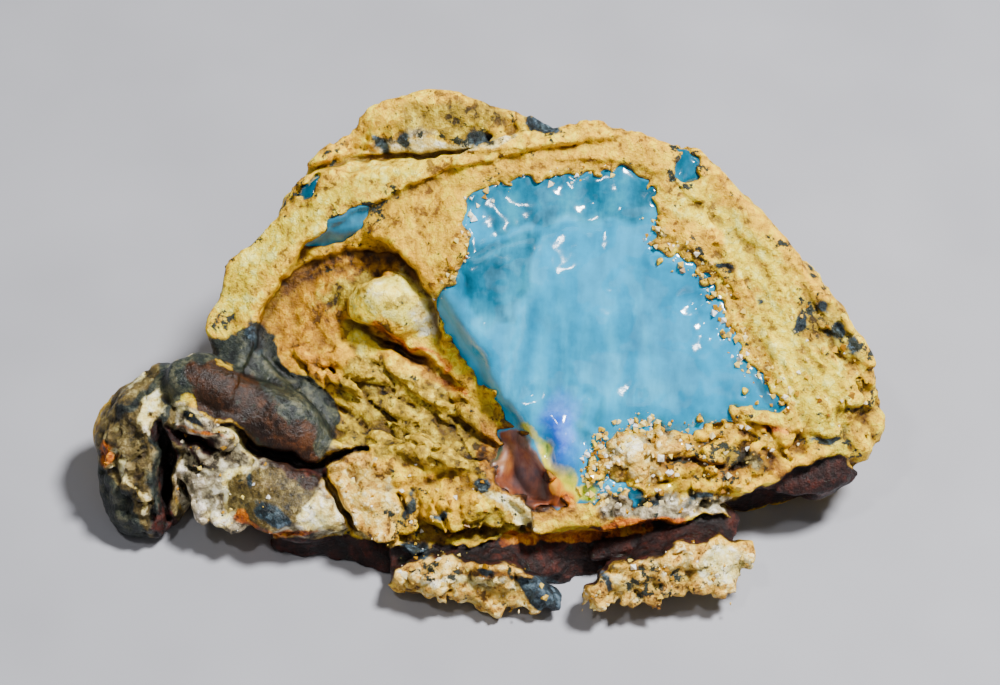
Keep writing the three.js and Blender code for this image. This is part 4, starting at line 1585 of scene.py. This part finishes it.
@dataclass
class Grit:
    """Crumbs stuck to the broad face: how many lie in each stretch of it, and how big they are, in mm."""

    stretches: tuple[tuple[Shape, int], ...] = (
        (Band(((12.6, 9.6), (16.0, 7.0), (19.0, 3.0), (20.4, -1.0), (23.6, -4.6)), 1.3), 300),
        (Band(((12.0, -6.8), (9.0, -7.8), (7.6, -10.4), (8.6, -12.6)), 1.1), 200),
        (NUGGETS, 320),
        (SECOND_LEDGE, 160),
        (FIRST_LEDGE, 100),
        (Band(((-5.4, 4.0), (-3.2, 7.4), (-2.6, 11.6), (1.6, 13.6), (9.0, 14.2)), 0.7), 90),
        (BLOCKS, 90),
        (CLUSTER, 60),
        (Oval(27.0, -2.0, 6.0, 2.6, -60), 60),
    )
    smallest: float = 0.06
    largest: float = 0.40
    seed: int = 77
    tries: int = 4000
    area: Corners = ((-34.0, -23.0), (32.0, 18.0))
    highest: float = 12.0
    lowest: float = -2.0
    drop: float = 0.1

    def spots(self, draw: np.random.Generator, shape: Shape, count: int) -> np.ndarray:
        """Draws places inside a shape on the face.

        Args:
            draw: The random draw.
            shape: The shape.
            count: How many places.

        Returns:
            The places as across and up, in mm.
        """
        kept = np.empty((0, 2), np.float32)
        while len(kept) < count:
            tried = draw.uniform(*self.area, (self.tries, 2)).astype(np.float32)
            kept = np.concatenate([kept, tried[shape.depth(tried) > 0.0]])
        return kept[:count]

    def landed(self, places: np.ndarray, skin: Field) -> np.ndarray:
        """Drops the places straight in until each meets the stone.

        Args:
            places: Places on the face, in mm.
            skin: The stone's distance field.

        Returns:
            A row for each place: where it meets the stone, in mm, or not a number where it misses.
        """
        axes = FACE.axes()
        start = np.array(FACE.middle, np.float32) + places @ axes[:2]
        landing = np.full((len(places), 3), np.nan)
        for out in np.arange(self.highest, self.lowest, -self.drop):
            points = start + np.float32(out) * axes[2]
            hit = np.isnan(landing[:, 0]) & (skin.read(points) < 0.0)
            landing[hit] = points[hit]
        return landing

    def build(self, skin: Field) -> bpy.types.Mesh:
        """Builds the crumbs as one mesh.

        Args:
            skin: The stone's distance field.

        Returns:
            The mesh in metres, each crumb a closed solid with flat sides.
        """
        draw = np.random.default_rng(self.seed)
        places = np.concatenate([self.spots(draw, shape, count) for shape, count in self.stretches])
        landing = self.landed(places, skin)
        corners = np.stack([np.eye(3), -np.eye(3)], axis=1).reshape(-1, 3)
        ring = (0, 2, 1, 3)
        round_ring = list(zip(ring, (*ring[1:], ring[0])))
        upper = [(4, here, after) for here, after in round_ring]
        lower = [(5, after, here) for here, after in round_ring]
        sides = np.array(upper + lower)
        count = len(landing)
        halves = self.smallest + (self.largest - self.smallest) * draw.random(count) ** 3
        jitter = draw.uniform(0.7, 1.3, (count, 6, 3))
        shades = draw.random(count)
        turns = np.linalg.qr(draw.normal(size=(count, 3, 3)))[0]
        turns *= np.sign(np.linalg.det(turns))[:, None, None]
        crumbs = np.einsum("nij,nkj->nki", turns, corners * jitter) * halves[:, None, None]
        kept = ~np.isnan(landing[:, 0])
        points = (landing[kept, None, :] + crumbs[kept]).reshape(-1, 3) * MM
        faces = (sides[None] + 6 * np.arange(kept.sum())[:, None, None]).reshape(-1, 3)
        mesh = bpy.data.meshes.new("loose_grains")
        mesh.from_pydata(points.tolist(), [], faces.tolist())
        layer = mesh.attributes.new(SHADE, "FLOAT", "POINT")
        layer.data.foreach_set("value", np.repeat(shades[kept], 6).astype(np.float32))
        return mesh


# ---------------------------------------------------------------- pieces


@dataclass
class Specimen:
    """The stone's visible pieces: its clear resin, its rind, and the loose grains stuck to it.

    Sizes are in mm. Parts of the rind overlap, and the edge of one is tucked in under the next.
    """

    fine: float = 0.21
    coarse: float = 0.36
    quick_scale: float = 1.5
    seams: tuple[float, ...] = (-8.0, 9.0)
    overlap: float = 0.3
    tuck: float = 0.06
    far_tuck: float = 0.14
    far_fade: float = 0.4
    far_overlap: float = 0.7
    front_ridges: float = 0.6
    far_ridges: float = 0.7
    pieces: list[bpy.types.Object] = field(default_factory=list)

    def place(self, mesh: bpy.types.Mesh, material: bpy.types.Material, slot: str) -> None:
        """Puts a mesh in the scene as a piece of the stone.

        Args:
            mesh: The mesh, in metres.
            material: Its finish.
            slot: Not used.
        """
        mesh.materials.append(material)
        piece = bpy.data.objects.new(mesh.name, mesh)
        bpy.context.scene.collection.objects.link(piece)
        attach(piece, "root")
        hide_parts(NODE)
        self.pieces.append(piece)
        LOG.info("%s: %d faces", mesh.name, len(mesh.polygons))

    @staticmethod
    def paint(mesh: bpy.types.Mesh, stone: Stone, zones: Sequence[Zone], blurred: Field) -> None:
        """Stores the masks that a mesh's finish reads.

        Args:
            mesh: The mesh, in metres.
            stone: The stone's fields.
            zones: The zones its finish knows.
            blurred: The stone's rounded-off distance field, which tells ridges from pits.
        """
        points = corner_points(mesh)
        places = FACE.from_stone(points)
        front = in_front(places, stone.facing.read(points))
        masks = {zone.value: stone.sheet.read(zone.value, places) * front for zone in zones}
        masks[RISE] = blurred.read(points)
        for name, values in masks.items():
            layer = mesh.attributes.new(name, "FLOAT", "POINT")
            layer.data.foreach_set("value", values.astype(np.float32))

    def front_rind(self, stone: Stone, finish: bpy.types.Material, blurred: Field) -> None:
        """Makes the broad face's rind, in parts whose edges overlap out of sight.

        Args:
            stone: The stone's fields.
            finish: The rind's material.
            blurred: The rounded-off field.
        """
        across = stone.places[:, 0]
        behind = BEHIND - stone.places[:, 2]
        edges = (-EVERYWHERE, *self.seams, EVERYWHERE)
        for number, (left, right) in enumerate(zip(edges[:-1], edges[1:]), start=1):
            past_right = across - right
            past_left = left - across
            sunk = smooth_step(past_right, -self.overlap, self.overlap)
            sunk += smooth_step(past_left, -self.overlap, self.overlap)
            outside = np.maximum.reduce([behind, past_right - self.overlap, past_left - self.overlap])
            values = np.maximum(stone.rind_values + self.tuck * sunk, outside)
            mesh = stone.filled(values, hollow=True).mesh(f"rind_{number}")
            self.paint(mesh, stone, self.rind_zones(), blurred)
            self.place(mesh, finish, "rind")

    @staticmethod
    def rind_zones() -> tuple[Zone, ...]:
        """Returns the zones that the rind's finish reads."""
        return (Zone.DARK, Zone.GLOSSY, *(tone.zone for tone in RindFinish.tones))

    def build(self, cad: bpy.types.Object) -> None:
        """Builds every piece.

        Args:
            cad: The stone's frame object.
        """
        scale = 1.0
        sheet = Sheet()
        LOG.info("sheet drawn")
        finish = RindFinish().build()
        whole = Stone(cad.data, sheet, self.coarse * scale, -EVERYWHERE)
        blurred = whole.skin.blurred(self.far_ridges)
        LOG.info("whole stone: %d points", len(whole.points))
        resin = whole.resin.mesh("clear_resin")
        extra = (Zone.VIOLET, Zone.MILKY, Zone.SATIN)
        self.paint(resin, whole, (*extra, *(tone.zone for tone in ResinFinish.tones)), blurred)
        self.place(resin, ResinFinish().build(), "clear_resin")
        out = whole.places[:, 2]
        far_values = whole.rind_values + self.far_tuck * smooth_step(out, BEHIND, BEHIND + self.far_fade)
        far_values = np.maximum(far_values, out - BEHIND - self.far_overlap)
        far = whole.filled(far_values, hollow=True).mesh("rind_far_side")
        self.paint(far, whole, self.rind_zones(), blurred)
        self.place(far, finish, "rind")
        front = Stone(cad.data, sheet, self.fine * scale, BEHIND - 1.0)
        LOG.info("front: %d points", len(front.points))
        self.front_rind(front, finish, front.skin.blurred(self.front_ridges))
        self.place(Grit().build(front.skin), GritFinish().build(), "rind")


# ---------------------------------------------------------------- studio


@dataclass(frozen=True)
class Lamp:
    """One soft lamp, aimed at the stone."""

    name: str
    place: tuple[float, float, float]
    size: float
    power: float

    def build(self, aim: Vector) -> None:
        """Hangs the lamp and points it at the aim."""
        light = bpy.data.lights.new(self.name, "AREA")
        light.shape = "DISK"
        light.size = self.size
        light.energy = self.power
        lamp = bpy.data.objects.new(self.name, light)
        bpy.context.scene.collection.objects.link(lamp)
        lamp.location = Vector(self.place)
        lamp.rotation_euler = (aim - lamp.location).to_track_quat("-Z", "Y").to_euler()


@dataclass(frozen=True)
class Studio:
    """A pale floor, soft lamps and the camera, in metres, watts and degrees."""

    lamps: tuple[Lamp, ...] = (
        Lamp("key", (0.15, 0.00, 0.35), 0.07, 3.9),
        Lamp("glint", (-0.10, -0.10, 0.38), 0.035, 0.4),
        Lamp("fill", (0.10, -0.30, 0.42), 0.30, 0.24),
        Lamp("front", (-0.30, -0.42, 0.20), 0.25, 0.07),
    )
    room_colour: str = "#E9ECF0"
    room_strength: float = 0.065
    floor_size: float = 2.4
    camera_distance: float = 0.300
    camera_height: float = 50.0
    sensor: float = 36.0
    lens: float = 127.4

    def floor(self) -> None:
        """Lays the pale floor."""
        half = self.floor_size / 2.0
        mesh = bpy.data.meshes.new("floor")
        corners = [(-half, -half, 0.0), (half, -half, 0.0), (half, half, 0.0), (-half, half, 0.0)]
        mesh.from_pydata(corners, [], [(0, 1, 2, 3)])
        tree = Tree("pale_floor")
        place = tree.add("TexCoord", out="Object")
        cloud = tree.add("TexNoise", {"Vector": place, "Scale": per_metre(16.0)})
        colour = tree.add("ValToRGB", {"Fac": cloud}, stops=((0.3, "#94949A"), (0.7, "#9C9CA2")))
        shader = tree.add("BsdfPrincipled", {"Base Color": colour, "Roughness": 0.7})
        tree.add("OutputMaterial", {"Surface": shader})
        mesh.materials.append(tree.material)
        floor = bpy.data.objects.new("floor", mesh)
        bpy.context.scene.collection.objects.link(floor)

    def camera(self) -> None:
        """Sets the camera in front of the stone, looking down on the broad face."""
        aim = Vector(FACE.middle) * MM
        rise = math.radians(self.camera_height)
        away = Vector((0.0, -math.cos(rise), math.sin(rise))) * self.camera_distance
        data = bpy.data.cameras.new("camera")
        data.sensor_width = self.sensor
        data.lens = self.lens
        data.clip_start = 0.01
        camera = bpy.data.objects.new("camera", data)
        bpy.context.scene.collection.objects.link(camera)
        camera.location = aim + away
        camera.rotation_euler = (-away).to_track_quat("-Z", "Y").to_euler()
        bpy.context.scene.camera = camera

    def world(self) -> None:
        """Fills the room with even light."""
        world = bpy.data.worlds.new("studio")
        world.use_nodes = True
        background = world.node_tree.nodes["Background"]
        background.inputs["Color"].default_value = linear(self.room_colour)
        background.inputs["Strength"].default_value = self.room_strength
        bpy.context.scene.world = world

    def build(self) -> None:
        """Sets everything up."""
        self.world()
        self.floor()
        self.camera()
        aim = Vector(FACE.middle) * MM
        for lamp in self.lamps:
            lamp.build(aim)


def main() -> None:
    """Builds the stone and its studio around the frame."""
    logging.basicConfig(level=logging.INFO, format="%(name)s: %(message)s")
    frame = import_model()
    Studio().build()
    specimen = Specimen()
    specimen.build(frame["nodes"][NODE])
    LOG.info("%d pieces", len(specimen.pieces))


if __name__ == "__main__":
    main()
